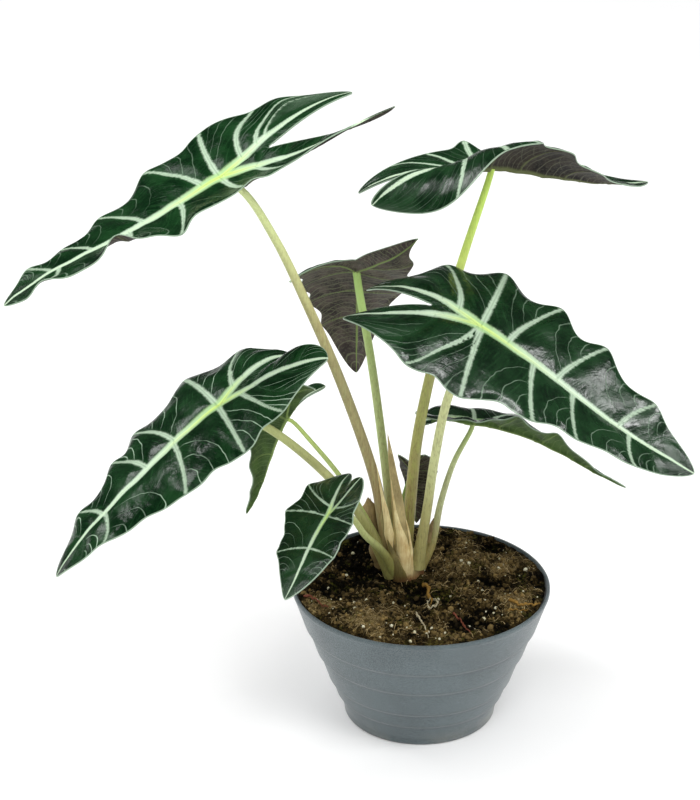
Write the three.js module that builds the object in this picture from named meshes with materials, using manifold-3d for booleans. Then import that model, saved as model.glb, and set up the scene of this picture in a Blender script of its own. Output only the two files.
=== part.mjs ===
// A potted foliage plant with arrow-shaped, pale-veined leaves, in millimetres, +Z up.
// The origin is the centre of the pot's flat foot, and the plant is seen in its picture along +Y.
// The pot and its soil are turned about Z. The crown is the fused leaf bases. Each leaf is a petiole,
// a tapered stalk along a curve, and a blade, a thin sheet worked out from one leaf formula.
import * as THREE from "three";
import { mergeVertices } from "three/addons/utils/BufferGeometryUtils.js";
import Module from "manifold-3d";

// ---- Driving dimensions ---------------------------------------------------------------------------

const POT = {
  height: 66,
  rimRadius: 60,
  footRadius: 35.7,
  footRound: 3, // the wall stands upright up to here
  wall: 1.6,
  floor: 2.2,
  bandHeight: 2.5,
  bandProud: 0.4,
  stepHeights: [10, 18.5, 33, 46],
  stepDepth: 1,
  stepRise: 2,
  lip: 0.4,
  lipRise: 0.8,
  sides: 48,
  drainHoles: 6,
  drainRadius: 3.2,
  drainCircle: 24,
};
const GAP = 0.3; // between pieces that touch
const SOIL = { top: 62, rise: 2.6, lump: 1.5, rings: 8, sectors: 40 };
const CROWN = {
  x: -7.5,
  y: 17,
  foot: 49,
  waist: 60,
  top: 76,
  waistRadius: 9.2,
  footRadius: 6.5,
  topRadius: 6,
  sides: 20,
};
const HOLE_RADIUS = 10.2; // the plain hole in the soil for the crown
const SHEATH = { wall: 0.9, steps: 8, across: 4, thinnest: 1.4 };
const STALK_TAPER = 2; // a petiole keeps its width for long and narrows most just under the blade
const CLASP = { slack: 0.5, flare: 1.5, steps: 4 }; // how a petiole's foot widens inside the crown
const BLADE_WALL = 0.8;
const STALK_SIDES = 8;
const STALK_STEP = 14; // distance between the rings along a stalk, about
const STRETCH_STEP = 20; // and between the points that a cut-out stretch of its curve keeps
const GRID_STEP = 7.5; // distance between the grid lines across a blade, about
const VEIN_BULGE = 0.055; // spread of the margin's bulge at a vein's end, as a share of the length
const DIP_SPREAD = 0.06; // and of the dips between them and the waves
const OUTWARD_SHARES = [0, 0.16, 0.55, 1]; // grid lines from the vein line to the outer margin
const INWARD_SHARES = [0, 0.5, 1]; // and from the lobe's vein to its inner margin

// Each leaf: where its petiole joins the blade (at), the compass heading of its midrib, the length
// from there to the tip, and its shape. Lengths are mm, angles degrees. Values with four entries
// hold at the lobe ends, the insertion, half way to the tip and the tip, and follow one smooth cubic
// in between. Pairs are [left, right], seen from the insertion towards the tip.
//   pitch, turn, roll: the midrib's slope, its turn from the heading, and the blade's twist about it
//   foldLeft, foldRight: how far each half is folded up from flat; curl adds to it at the margin
//   lobe: length of the basal lobes as a share of the length; reach scales each of them
//   splay: angle of each lobe from the midrib's line; sinus: how far the cut between them starts back
//   lift: rise of the lobe ends, mm; twist: turn of each lobe about its own vein
//   wave: height of the margin's waves, as a share of the length in percent; scallop: bulge at each vein
//   crest: what each side vein's wave is times that height, 1 if left out; below 0 it hangs down
//   blunt: how full the back of each lobe is, 0.6 if left out, and fuller below that
//   join: how far ahead of the insertion the petiole ends, 0 if left out
//   veins: where the side veins meet the margin, as shares of the length, for each side
// stalk: the petiole's curve from the crown to just under the blade; r: its radii there;
// sheath: the height up to which its base is clasped in the crown.
const PLAIN_VEINS = [[0, 0.24, 0.46, 0.72], [0.06, 0.3, 0.53, 0.76]];
const SHORT_VEINS = [[-0.2, 0.1, 0.5], [-0.2, 0.1, 0.5]];
const LEAVES = {
  upper_left: {
    at: [-87.7, -16.5, 270.2], heading: 195, length: 109.5, lobe: 0.55, width: [0.25, 0.3],
    pitch: [20, -23.5, -17, -46.5], turn: [-1, 10, 15, -9], roll: [-15, -9.7, 28.6, -6.5],
    foldLeft: [8, -6.5, -30, -35], foldRight: [9, 9.7, 30, 11], curl: [30, -5],
    splay: [28, 15], reach: [1.16, 1.01], sinus: 0.4, lift: [14, 14], twist: [3, -23],
    wave: [2.6, 1.3], scallop: 0.1, blunt: 0.58,
    crest: [[-0.5, 0.9, -2.1, 2.3, 1.8], [0.3, -2, 1, 0.5, -0.2, 1.6]],
    veins: [[-0.29, -0.05, 0.31, 0.53, 0.82], [-0.35, -0.11, 0.2, 0.46, 0.68, 0.85]],
    stalk: [[-14, 14, 66], [-17.8, 13.5, 92], [-21.4, 12.5, 113], [-37.5, 6.5, 166], [-53, -1, 208],
      [-65, -8, 238], [-78.2, -15.2, 262.7]],
    r: [2.6, 1.5], sheath: 104, colour: 0x1d4a2c,
  },
  upper_right: {
    at: [28.3, 40, 255.2], join: 3, heading: 28, length: 91, lobe: 0.56, width: [0.25, 0.34],
    pitch: [50, -9.5, -15.5, -7], turn: [-7, 5, -4, 8], roll: [-24, -19, 3.6, 28],
    foldLeft: [15, 11.5, 0, -23], foldRight: [-25.7, 46, 51.5, 28], curl: [23, -30],
    splay: [8.5, 8], reach: [1.08, 1.08], sinus: 0.46, lift: [13.5, 14], twist: [-7, -50],
    wave: [1.9, 0.8], scallop: 0.13, veins: [[0.04, 0.25, 0.45, 0.66], [0.06, 0.31, 0.57, 0.79]],
    stalk: [[-7.5, 19, 67], [-5.1, 21, 93], [-1.8, 26, 127], [5.7, 32, 165], [18, 36.8, 212],
      [28.9, 40, 247.7]],
    r: [2.7, 1.45], sheath: 98, colour: 0x23442f,
  },
  back: {
    at: [-30, 54, 200.3], heading: 92, length: 66, lobe: 0.54, width: [0.42, 0.4],
    pitch: [-30, -52, -69, -95], turn: [0, -5, 0, 4], roll: [10, 14, 0, -15],
    foldLeft: [-3, -9, 14, 5], foldRight: [5, -3, 14, 15], curl: [-21, 12],
    splay: [50, 46], reach: [1.1, 1.07], sinus: 0.31, lift: [-12, 12], twist: [9, 0],
    wave: [1.2, 1.4], scallop: 0.08, veins: [[-0.2, 0.1, 0.35, 0.6], [-0.2, 0.1, 0.35, 0.6]],
    stalk: [[-12, 20.5, 66], [-14.6, 27, 95.5], [-18, 33, 124], [-23.2, 42.5, 160.5], [-28.8, 51, 192]],
    r: [2.1, 1.8], sheath: 92, colour: 0x4a4347,
  },
  right: {
    at: [23.8, -12, 199.9], heading: -16, length: 115.5, lobe: 0.5, width: [0.35, 0.36],
    pitch: [38, -27, -34, -23], turn: [2, 3, 1, -6], roll: [2, 21, 23, 44],
    foldLeft: [13, 0, 15, 10], foldRight: [19, 10, 21, 0], curl: [-9, -12],
    splay: [18, 19], reach: [1.02, 1.04], sinus: 0.4, lift: [0, 2], twist: [-19, 6],
    wave: [2.5, 2], scallop: 0.08,
    veins: [[-0.22, 0, 0.24, 0.46, 0.74], [-0.22, 0.07, 0.36, 0.54, 0.79]],
    stalk: [[-1.5, 14, 67], [2.8, 12, 98], [5.8, 9, 125], [11, 3, 158], [21.6, -10, 194]],
    r: [2.2, 1.8], sheath: 88, colour: 0x1c4529,
  },
  left: {
    at: [-89.6, -34, 172], heading: 196, length: 105, lobe: 0.47, width: [0.33, 0.33],
    pitch: [11, -32, -39, -63], turn: [-13, 5, 9, -2], roll: [7, 5, 0, -4],
    foldLeft: [0, 2, -1, 7], foldRight: [4, 24, 11, 10], curl: [-17, -20],
    splay: [26, 27], reach: [1.09, 0.92], sinus: 0.55, lift: [16, -2], twist: [-21, 14],
    wave: [2.7, 2.5], scallop: 0.08, veins: [[-0.22, 0.05, 0.36, 0.74], [-0.2, 0.05, 0.35, 0.5, 0.75]],
    stalk: [[-13.5, 10, 65], [-19, 7, 78], [-30.7, -4, 107], [-50.4, -19, 138], [-71.5, -31, 161],
      [-85, -34, 168.5]],
    r: [2.2, 1.7], sheath: 86, colour: 0x1e4a2d,
  },
  left_rear: {
    at: [-61.9, 0, 149.8], heading: 196, length: 50, lobe: 0.47, width: [0.36, 0.29],
    pitch: [-34, -58, -73, -53], turn: [0.6, 7.8, -3.6, -6], roll: [17, 46, 30.5, 43],
    foldLeft: [9.5, 62.7, 33, 26], foldRight: [23, 28, 43.7, 25.5], curl: [-23, -3],
    splay: [29.5, 8], reach: [0.94, 1.03], sinus: 0.35, lift: [-8, -6], twist: [21.5, 12],
    wave: [1.1, 0], scallop: 0.08, veins: PLAIN_VEINS,
    stalk: [[-14.5, 14, 67], [-21.3, 11.5, 85], [-37, 6, 117], [-51.2, 2.3, 138], [-59.3, 0.7, 148.3]],
    r: [1.3, 0.9], sheath: 89, colour: 0x4d7040,
  },
  lower_right: {
    at: [24.9, 40.4, 129.6], heading: -15.5, length: 80, lobe: 0.47, width: [0.24, 0.22],
    pitch: [8, -6, -15.7, -15], turn: [-2, 11, -15, -2], roll: [-31, -20, 9, -2.5],
    foldLeft: [1, 45, -12, -15], foldRight: [-13, 16.5, 66.7, 58], curl: [-28, -4],
    splay: [14.5, 18.5], reach: [0.78, 0.75], sinus: 0.53, lift: [-8, 9.5], twist: [35.5, -10],
    wave: [1.15, 2.4], scallop: 0.03, crest: [[-1.2, 3.2, 3.3, 0.7], [-1, 1.8, 2.1, -0.9]],
    veins: [[-0.04, 0.22, 0.49, 0.72], [0.03, 0.27, 0.53, 0.81]],
    stalk: [[0, 20, 64], [5.3, 22, 74.2], [9.9, 27, 95], [16, 33.5, 112.5], [24.1, 39.3, 126.6]],
    r: [1.5, 1.1], sheath: 78, colour: 0x3f6a3c,
  },
  front: {
    at: [-42.5, -45, 123.6], heading: 234, length: 47, lobe: 0.5, width: [0.42, 0.42],
    pitch: [-34, -34, -25, -39], turn: [-10, -3, 14, -1], roll: [8, 5, 2, -1],
    foldLeft: [9, 15, 4, 6], foldRight: [4, 13, 0, 7], curl: [4, -6],
    splay: [22, 22], reach: [0.95, 1.1], sinus: 0.63, lift: [3, -4], twist: [-13, -10],
    wave: [2, 2], scallop: 0.08, veins: SHORT_VEINS,
    stalk: [[-12, 9, 66], [-17.5, 3, 80], [-26, -7.5, 94.5], [-33.5, -22, 112], [-41, -39.5, 118.5]],
    r: [1.5, 1.1], sheath: 88, colour: 0x1b4529,
  },
  young: {
    at: [-4, 36, 107], heading: 75, length: 36, lobe: 0.45, width: [0.2, 0.33],
    pitch: [-30, -60, -72, -80], turn: [0, 0, 0, 0], roll: [0, 5, 5, 0],
    foldLeft: [15, 20, 20, 20], foldRight: [15, 20, 20, 20], curl: [0, 0],
    splay: [30, 30], reach: [0.7, 1], sinus: 0.45, lift: [0, 0], twist: [0, 0],
    wave: [1, 1], scallop: 0.08, veins: SHORT_VEINS,
    stalk: [[-6, 24, 66], [-7.5, 29, 80], [-8, 32, 92], [-5, 33.5, 104]],
    r: [1.1, 0.8], sheath: 76, colour: 0x39343c,
  },
};

// Papery sheaths that stand up from the crown: the curve of their middle, their half width at the
// base, and the angle of arc that they wrap.
const SHEATHS = [
  {
    path: [[-7, 11.6, 58], [-8.2, 9.4, 78], [-11, 11, 100], [-14, 15, 118], [-17, 19, 132]],
    radius: 5.4,
    wrap: 150,
  },
  {
    path: [[-12, 8, 66], [-15.5, 8.6, 84], [-18.5, 8.6, 100], [-23.5, 8, 122]],
    radius: 4.4,
    wrap: 130,
  },
];
// What is left of an old leaf base: a short stub on the crown's left.
const OLD_STUB = { path: [[-16, 20, 66], [-21, 21.5, 81], [-24, 22, 95]], radii: [3.8, 2.6] };

const COLOURS = { pot: 0x66757a, soil: 0x3e3622, crown: 0xa8905e, petiole: 0xa3ad62 };

// ---- Small tools ------------------------------------------------------------------------------------

const wasm = await Module();
wasm.setup();

const radians = THREE.MathUtils.degToRad;
const smooth = (from, to, x) => THREE.MathUtils.smoothstep(x, Math.min(from, to), Math.max(from, to));
const rising = (from, to, x) => (from < to ? smooth(from, to, x) : 1 - smooth(from, to, x));
const bell = (x, middle, spread) => Math.exp(-(((x - middle) / spread) ** 2));
const vector = (p) => new THREE.Vector3(...p);

function geometryOf(points, triangles) {
  const geometry = new THREE.BufferGeometry();
  const numbers = points.flatMap((p) => p.toArray());
  geometry.setAttribute("position", new THREE.Float32BufferAttribute(numbers, 3));
  geometry.setIndex(triangles.flat());
  geometry.computeVertexNormals();
  return geometry;
}

// A closed three.js geometry as a solid that can be joined and cut.
function solidOf(geometry) {
  const bare = geometry.clone();
  bare.deleteAttribute("normal");
  bare.deleteAttribute("uv");
  const merged = mergeVertices(bare, 1e-4);
  return new wasm.Manifold(new wasm.Mesh({
    numProp: 3,
    vertProperties: new Float32Array(merged.attributes.position.array),
    triVerts: new Uint32Array(merged.index.array),
  }));
}

function geometryFrom(solid) {
  const mesh = solid.getMesh();
  const geometry = new THREE.BufferGeometry();
  geometry.setAttribute("position", new THREE.BufferAttribute(new Float32Array(mesh.vertProperties), 3));
  geometry.setIndex(new THREE.BufferAttribute(new Uint32Array(mesh.triVerts), 1));
  geometry.computeVertexNormals();
  return geometry;
}

function piece(name, geometry, colour, roughness) {
  const material = new THREE.MeshStandardMaterial({ color: colour, roughness, metalness: 0 });
  const mesh = new THREE.Mesh(geometry, material);
  mesh.name = name;
  return mesh;
}

// The cubic through four values at t = -1, 0, 1 and 2.
function throughFour([a, b, c, d], t) {
  return (-a * t * (t - 1) * (t - 2)) / 6 + (b * (t + 1) * (t - 1) * (t - 2)) / 2
    - (c * (t + 1) * t * (t - 2)) / 2 + (d * (t + 1) * t * (t - 1)) / 6;
}

// ---- Pot and soil -----------------------------------------------------------------------------------

// Outer radius of the pot's wall below its rim band at height z: a slope that jumps out at each step.
function wallRadius(z) {
  const { footRadius, footRound, stepDepth, stepHeights } = POT;
  const top = POT.rimRadius - POT.bandProud;
  const rise = POT.height - POT.bandHeight - footRound;
  const slope = (top - footRadius - stepDepth * stepHeights.length) / rise;
  const stepsBelow = stepHeights.filter((height) => z > height).length;
  return footRadius + slope * (z - footRound) + stepDepth * stepsBelow;
}

function potGeometry() {
  const { height, rimRadius, footRadius, footRound, wall, floor, bandHeight, lip, lipRise } = POT;
  const bandFoot = height - bandHeight;
  const side = [[wallRadius(footRound), footRound]];
  for (const z of POT.stepHeights) {
    side.push([wallRadius(z), z], [wallRadius(z + POT.stepRise), z + POT.stepRise]);
  }
  side.push([wallRadius(bandFoot), bandFoot]);
  const outside = [[0, 0], [footRadius - 0.6, 0], [footRadius, 0.6], ...side];
  const edge = [[rimRadius, bandFoot + lip], [rimRadius, height - lipRise], [rimRadius - lip, height],
    [rimRadius - wall + lip, height], [rimRadius - wall, height - lipRise]];
  const lining = side.slice(1).reverse().map(([r, z]) => [r - wall, z]);
  const bowlFloor = [[wallRadius(footRound) - wall, footRound + floor], [0, floor]];
  const profile = [...outside, ...edge, ...lining, ...bowlFloor].map(([r, z]) => new THREE.Vector2(r, z));
  const bowl = new THREE.LatheGeometry(profile, POT.sides).rotateX(Math.PI / 2);
  let solid = solidOf(bowl);
  for (let i = 0; i < POT.drainHoles; i++) {
    const turn = (i / POT.drainHoles) * Math.PI * 2;
    const depth = 4 * (floor + footRound); // right through the floor, which rises towards the wall
    const drill = new THREE.CylinderGeometry(POT.drainRadius, POT.drainRadius, depth, 10);
    drill.rotateX(Math.PI / 2);
    drill.translate(POT.drainCircle * Math.cos(turn), POT.drainCircle * Math.sin(turn), 0);
    solid = solid.subtract(solidOf(drill));
  }
  return geometryFrom(solid);
}

// Height of the soil's uneven top: a shallow dish round the crown, nearly full at the rim, and lumps
// made of crossing waves, which are lower near the rim.
function soilHeight(x, y) {
  const lumps = Math.sin(x / 5.3 + 1.1) * Math.cos(y / 6.1) + 0.7 * Math.sin((x + y) / 3.7 + 2)
    + 0.5 * Math.cos((x - 1.6 * y) / 4.4);
  const edge = rising(POT.rimRadius, POT.rimRadius - 16, Math.hypot(x, y));
  const dish = smooth(HOLE_RADIUS, 3 * HOLE_RADIUS, Math.hypot(x - CROWN.x, y - CROWN.y));
  return SOIL.top + SOIL.rise * dish + SOIL.lump * 0.5 * lumps * (0.4 + 0.6 * edge);
}

// The soil is a ring-shaped body: a wall round the crown's hole, the uneven top, the side along the
// pot and a flat bottom, closed under the crown by the hole's floor.
function soilGeometry() {
  const clear = POT.wall + GAP + 0.1;
  const bandFoot = POT.height - POT.bandHeight;
  // The pot's inner wall, less the gap: one slope up to the rim band and one along it.
  const sideRadius = (z) => {
    const middle = wallRadius(bandFoot);
    const r = z < bandFoot
      ? THREE.MathUtils.mapLinear(z, POT.footRound + POT.floor, bandFoot, wallRadius(POT.footRound), middle)
      : THREE.MathUtils.mapLinear(z, bandFoot, POT.height - POT.lipRise, middle, POT.rimRadius);
    return r - clear;
  };
  const bottom = POT.floor + GAP + POT.footRound;
  const holeFloor = CROWN.foot - GAP;
  const points = [];
  const rows = [];
  const addRow = (pointAt) => {
    const row = [];
    for (let k = 0; k < SOIL.sectors; k++) {
      const turn = (k / SOIL.sectors) * Math.PI * 2;
      row.push(points.push(pointAt(Math.cos(turn), Math.sin(turn))) - 1);
    }
    rows.push(row);
  };
  addRow((c, s) => new THREE.Vector3(CROWN.x + HOLE_RADIUS * c, CROWN.y + HOLE_RADIUS * s, holeFloor));
  for (let i = 0; i <= SOIL.rings; i++) {
    const u = i / SOIL.rings;
    const outerRadius = sideRadius(SOIL.top);
    addRow((c, s) => {
      const x = THREE.MathUtils.lerp(CROWN.x + HOLE_RADIUS * c, outerRadius * c, u);
      const y = THREE.MathUtils.lerp(CROWN.y + HOLE_RADIUS * s, outerRadius * s, u);
      return new THREE.Vector3(x, y, soilHeight(x, y));
    });
  }
  for (const z of [bandFoot - 1, bottom]) {
    addRow((c, s) => new THREE.Vector3(sideRadius(z) * c, sideRadius(z) * s, z));
  }
  const triangles = [];
  for (let i = 0; i + 1 < rows.length; i++) {
    rows[i].forEach((a, k) => {
      const next = (k + 1) % SOIL.sectors;
      triangles.push([a, rows[i + 1][k], rows[i + 1][next]], [a, rows[i + 1][next], rows[i][next]]);
    });
  }
  const floorMiddle = points.push(new THREE.Vector3(CROWN.x, CROWN.y, holeFloor)) - 1;
  const bottomMiddle = points.push(new THREE.Vector3(0, 0, bottom)) - 1;
  const last = rows.length - 1;
  for (let k = 0; k < SOIL.sectors; k++) {
    const next = (k + 1) % SOIL.sectors;
    triangles.push([floorMiddle, rows[0][k], rows[0][next]]);
    triangles.push([bottomMiddle, rows[last][next], rows[last][k]]);
  }
  return geometryOf(points, triangles);
}

// ---- Stalks and crown -------------------------------------------------------------------------------

// A tapered stalk with closed square ends along a curve. cut is the plane that its last ring lies in:
// the ring's points are slid onto it along the curve's last direction.
function stalkGeometry(curve, radiusAt, steps, cut) {
  const points = [];
  const frames = curve.computeFrenetFrames(steps, false);
  for (let i = 0; i <= steps; i++) {
    const middle = curve.getPointAt(i / steps);
    for (let k = 0; k < STALK_SIDES; k++) {
      const turn = (k / STALK_SIDES) * Math.PI * 2;
      const p = middle.clone()
        .addScaledVector(frames.normals[i], radiusAt(i / steps) * Math.cos(turn))
        .addScaledVector(frames.binormals[i], radiusAt(i / steps) * Math.sin(turn));
      if (cut && i === steps) {
        const along = frames.tangents[i];
        p.addScaledVector(along, -cut.distanceToPoint(p) / cut.normal.dot(along));
      }
      points.push(p);
    }
  }
  const triangles = [];
  for (let i = 0; i < steps; i++) {
    for (let k = 0; k < STALK_SIDES; k++) {
      const next = (k + 1) % STALK_SIDES;
      const [low, high] = [i * STALK_SIDES, (i + 1) * STALK_SIDES];
      triangles.push([low + k, low + next, high + next], [low + k, high + next, high + k]);
    }
  }
  const end = steps * STALK_SIDES;
  for (let k = 1; k + 1 < STALK_SIDES; k++) triangles.push([0, k + 1, k], [end, end + k, end + k + 1]);
  return geometryOf(points, triangles);
}

const curveThrough = (points) => new THREE.CatmullRomCurve3(points, false, "centripetal");

// The share of a rising curve's length at which it reaches a height, found by halving.
function shareAtHeight(curve, height) {
  let [low, high] = [0, 1];
  for (let i = 0; i < 24; i++) {
    const middle = (low + high) / 2;
    if (curve.getPointAt(middle).z < height) low = middle;
    else high = middle;
  }
  return low;
}

// The stretch of a curve between two shares of its length, as a curve of its own.
function stretch(curve, from, to) {
  const count = Math.max(4, Math.round((curve.getLength() * (to - from)) / STRETCH_STEP));
  const picked = [];
  for (let i = 0; i <= count; i++) picked.push(curve.getPointAt(THREE.MathUtils.lerp(from, to, i / count)));
  return curveThrough(picked);
}

// The whole petiole's curve, from inside the crown to the insertion less the gap under the blade.
function stalkCurve(leaf) {
  const root = bladeFrame(leaf)(leaf.join ?? 0, 0);
  const under = -(BLADE_WALL / 2 + ribDepth(leaf, 0) + GAP);
  const end = root.point.clone().addScaledVector(root.normal, under);
  const cut = new THREE.Plane().setFromNormalAndCoplanarPoint(root.normal, end);
  return { curve: curveThrough([...leaf.stalk.map(vector), end]), cut };
}

function petioleGeometry(leaf) {
  const { curve, cut } = stalkCurve(leaf);
  const free = stretch(curve, shareAtHeight(curve, leaf.sheath) + GAP / curve.getLength(), 1);
  const steps = Math.max(5, Math.round(free.getLength() / STALK_STEP));
  const [foot, top] = leaf.r;
  return stalkGeometry(free, (u) => THREE.MathUtils.lerp(foot, top, u ** STALK_TAPER), steps, cut);
}

// The foot of a petiole, up to the height where the crown stops clasping it, flared at its root.
function claspGeometry(leaf) {
  const { curve } = stalkCurve(leaf);
  const clasped = stretch(curve, 0, shareAtHeight(curve, leaf.sheath));
  return stalkGeometry(clasped, (u) => leaf.r[0] + CLASP.slack + CLASP.flare * (1 - u) ** 1.5, CLASP.steps);
}

// A papery sheath: an arc of wall along a curve, wide at its base and drawn out to a point.
function sheathGeometry({ path, radius, wrap }) {
  const curve = curveThrough(path.map(vector));
  const { steps, across } = SHEATH;
  const front = new THREE.Vector3(0, -1, 0);
  const rows = [];
  const points = [];
  for (let i = 0; i < steps; i++) {
    const u = i / steps;
    const middle = curve.getPointAt(u);
    const tangent = curve.getTangentAt(u);
    const side = new THREE.Vector3().crossVectors(tangent, front).normalize();
    const ahead = new THREE.Vector3().crossVectors(side, tangent);
    const half = radians(wrap / 2) * (1 - u) ** 0.35;
    const r = radius * (1 - u) ** 0.55;
    const row = [];
    for (const offset of [0, -SHEATH.wall]) {
      for (let k = 0; k <= across; k++) {
        const turn = THREE.MathUtils.mapLinear(k, 0, across, -half, half) * (offset ? -1 : 1);
        const reach = Math.max(r, SHEATH.thinnest) + offset;
        row.push(points.push(middle.clone().addScaledVector(side, reach * Math.sin(turn))
          .addScaledVector(ahead, reach * Math.cos(turn) - r * 0.4)) - 1);
      }
    }
    rows.push(row);
  }
  const tip = points.push(curve.getPointAt(1)) - 1;
  const triangles = [];
  const ring = rows[0].length;
  for (let i = 0; i + 1 < steps; i++) {
    for (let k = 0; k < ring; k++) {
      const next = (k + 1) % ring;
      triangles.push([rows[i][k], rows[i][next], rows[i + 1][next]]);
      triangles.push([rows[i][k], rows[i + 1][next], rows[i + 1][k]]);
    }
  }
  for (let k = 0; k < ring; k++) triangles.push([rows[steps - 1][k], rows[steps - 1][(k + 1) % ring], tip]);
  for (let k = 0; k < across; k++) {
    const [a, b, c, d] = [rows[0][k], rows[0][k + 1], rows[0][ring - 2 - k], rows[0][ring - 1 - k]];
    triangles.push([a, c, b], [a, d, c]);
  }
  return geometryOf(points, triangles);
}

function oldStubGeometry() {
  const [foot, top] = OLD_STUB.radii;
  const curve = curveThrough(OLD_STUB.path.map(vector));
  return stalkGeometry(curve, (u) => THREE.MathUtils.lerp(foot, top, u), 3);
}

// The corm with the clasping bases of all the leaves, the sheaths and the old stub, joined.
function crownGeometry() {
  const { foot, waist, top, waistRadius, footRadius, topRadius } = CROWN;
  const profile = [[0, foot], [footRadius, foot], [waistRadius, waist], [topRadius, top], [0, top + 2]];
  const corm = new THREE.LatheGeometry(profile.map(([r, z]) => new THREE.Vector2(r, z)), CROWN.sides);
  let solid = solidOf(corm.rotateX(Math.PI / 2).translate(CROWN.x, CROWN.y, 0));
  for (const leaf of Object.values(LEAVES)) solid = solid.add(solidOf(claspGeometry(leaf)));
  for (const sheath of SHEATHS) solid = solid.add(solidOf(sheathGeometry(sheath)));
  solid = solid.add(solidOf(oldStubGeometry()));
  return geometryFrom(solid);
}

// ---- Blades -----------------------------------------------------------------------------------------

// The flat outline. x runs along the midrib, 0 at the insertion, length at the tip, and y to the side.
function flatShape(leaf, side) {
  const { length, veins, scallop, sinus, blunt = 0.6 } = leaf;
  const lobeLength = length * leaf.lobe * leaf.reach[side];
  const splay = radians(leaf.splay[side]);
  const tipX = -lobeLength * Math.cos(splay);
  const tipY = lobeLength * Math.sin(splay);
  const half = leaf.width[side] * length;
  const sinusX = -sinus * length * leaf.lobe;
  const ends = veins[side];
  // Outer margin: full at the insertion, drawn out to the tip, and round the back of the lobe.
  const outer = (x) => {
    let w;
    if (x >= 0) {
      const u = Math.min(x / length, 1);
      w = half * (1 - u) ** 0.7 * (1 + 0.25 * u * (1 - u));
    } else {
      const v = Math.min(Math.max((x - tipX) / -tipX, 0), 1);
      w = tipY * (1 - v) + (half - tipY * (1 - v)) * (1 - (1 - v) ** 2.2) ** blunt;
    }
    let bulge = 0;
    ends.forEach((e, i) => {
      bulge += bell(x / length, e, VEIN_BULGE);
      if (i) bulge -= bell(x / length, (e + ends[i - 1]) / 2, DIP_SPREAD);
    });
    return w * (1 + scallop * bulge);
  };
  // Inner margin of the lobe, a quarter-ellipse-like run from the cut to the lobe's end.
  const inner = (x) => {
    const v = Math.min(Math.max((x - sinusX) / (tipX - sinusX), 0), 1);
    return tipY * (0.42 * v + 0.58 * (1 - Math.sqrt(1 - v * v)));
  };
  const lobeVein = (x) => (x < 0 ? tipY * Math.min(x / tipX, 1) ** 1.15 : 0);
  return { tipX, outer, inner, lobeVein, half };
}

// The blade's surface: flat x and signed y (left is positive) to a point and the upper side's normal.
function bladeFrame(leaf) {
  const { length } = leaf;
  const lobeLength = length * leaf.lobe;
  const sides = [flatShape(leaf, 0), flatShape(leaf, 1)];
  const back = Math.min(sides[0].tipX, sides[1].tipX, -lobeLength);
  const SPINE_STEPS = 240;
  const dx = (length - back) / SPINE_STEPS;
  const station = (x) => (x < 0 ? x / lobeLength : (2 * x) / length);
  const axes = (x) => {
    const t = station(x);
    const pitch = radians(throughFour(leaf.pitch, t));
    const yaw = radians(leaf.heading + throughFour(leaf.turn, t));
    const roll = radians(throughFour(leaf.roll, t));
    const flat = Math.cos(pitch);
    const along = new THREE.Vector3(flat * Math.cos(yaw), flat * Math.sin(yaw), Math.sin(pitch));
    const level = new THREE.Vector3(-Math.sin(yaw), Math.cos(yaw), 0);
    const above = new THREE.Vector3().crossVectors(along, level);
    const left = level.clone().multiplyScalar(Math.cos(roll)).addScaledVector(above, Math.sin(roll));
    const up = above.clone().multiplyScalar(Math.cos(roll)).addScaledVector(level, -Math.sin(roll));
    return { along, left, up };
  };
  // The midrib's line is the sum of its directions, both ways from the insertion.
  const spine = [new THREE.Vector3()];
  for (let i = 0; i < SPINE_STEPS; i++) {
    spine.push(spine[i].clone().addScaledVector(axes(back + (i + 0.5) * dx).along, dx));
  }
  const spinePoint = (x) => {
    const f = Math.min(Math.max((x - back) / dx, 0), SPINE_STEPS - 1e-6);
    return spine[Math.floor(f)].clone().lerp(spine[Math.floor(f) + 1], f % 1);
  };
  const origin = spinePoint(0);
  const widest = Math.max(sides[0].half, sides[1].half);
  const waveAt = (side, x) => leaf.veins[side].reduce((sum, e, i) => {
    const crest = leaf.crest ? leaf.crest[side][i] : 1;
    return sum + crest * bell(x / length, e, DIP_SPREAD);
  }, -0.5);

  const place = (x, y) => {
    const side = y >= 0 ? 0 : 1;
    const sign = side ? -1 : 1;
    const out = Math.abs(y);
    const t = station(x);
    const flatFold = throughFour(side ? leaf.foldRight : leaf.foldLeft, t);
    const fold = radians(flatFold + (leaf.curl[side] * out) / widest);
    let across = y * Math.cos(fold);
    let rise = out * Math.sin(fold);
    const share = Math.min(out / Math.max(sides[side].outer(x), 1e-6), 1);
    const fade = rising(-leaf.lobe, -0.1, x / length) * rising(1.02, 0.85, x / length);
    rise += ((leaf.wave[side] * length) / 100) * waveAt(side, x) * share ** 2 * fade;
    if (x < 0) {
      const blend = Math.tanh(y / (0.05 * length));
      const back = -x / lobeLength;
      rise += ((leaf.lift[0] * (1 + blend) + leaf.lift[1] * (1 - blend)) / 2) * back ** 2;
      const turn = radians(leaf.twist[side]) * rising(0.15, 1, back / leaf.reach[side]);
      const fromVein = out - sides[side].lobeVein(x);
      rise += Math.sin(turn) * fromVein;
      across += sign * (Math.cos(turn) - 1) * fromVein;
    }
    const { left, up } = axes(x);
    const onMidrib = vector(leaf.at).add(spinePoint(x)).sub(origin);
    return onMidrib.addScaledVector(left, across).addScaledVector(up, rise);
  };
  const STEP = 0.4;
  return (x, y) => {
    const towardsTip = place(x + STEP, y).sub(place(x - STEP, y));
    const towardsLeft = place(x, y + STEP).sub(place(x, y - STEP));
    return { point: place(x, y), normal: towardsTip.cross(towardsLeft).normalize() };
  };
}

// How far the midrib and the lobe veins stand out below the blade, thinning towards their ends.
function ribDepth(leaf, x) {
  const end = x < 0 ? -leaf.lobe * leaf.length : leaf.length;
  return (0.5 + leaf.length / 90) * Math.max(1 - x / end, 0) ** 0.8;
}

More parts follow.
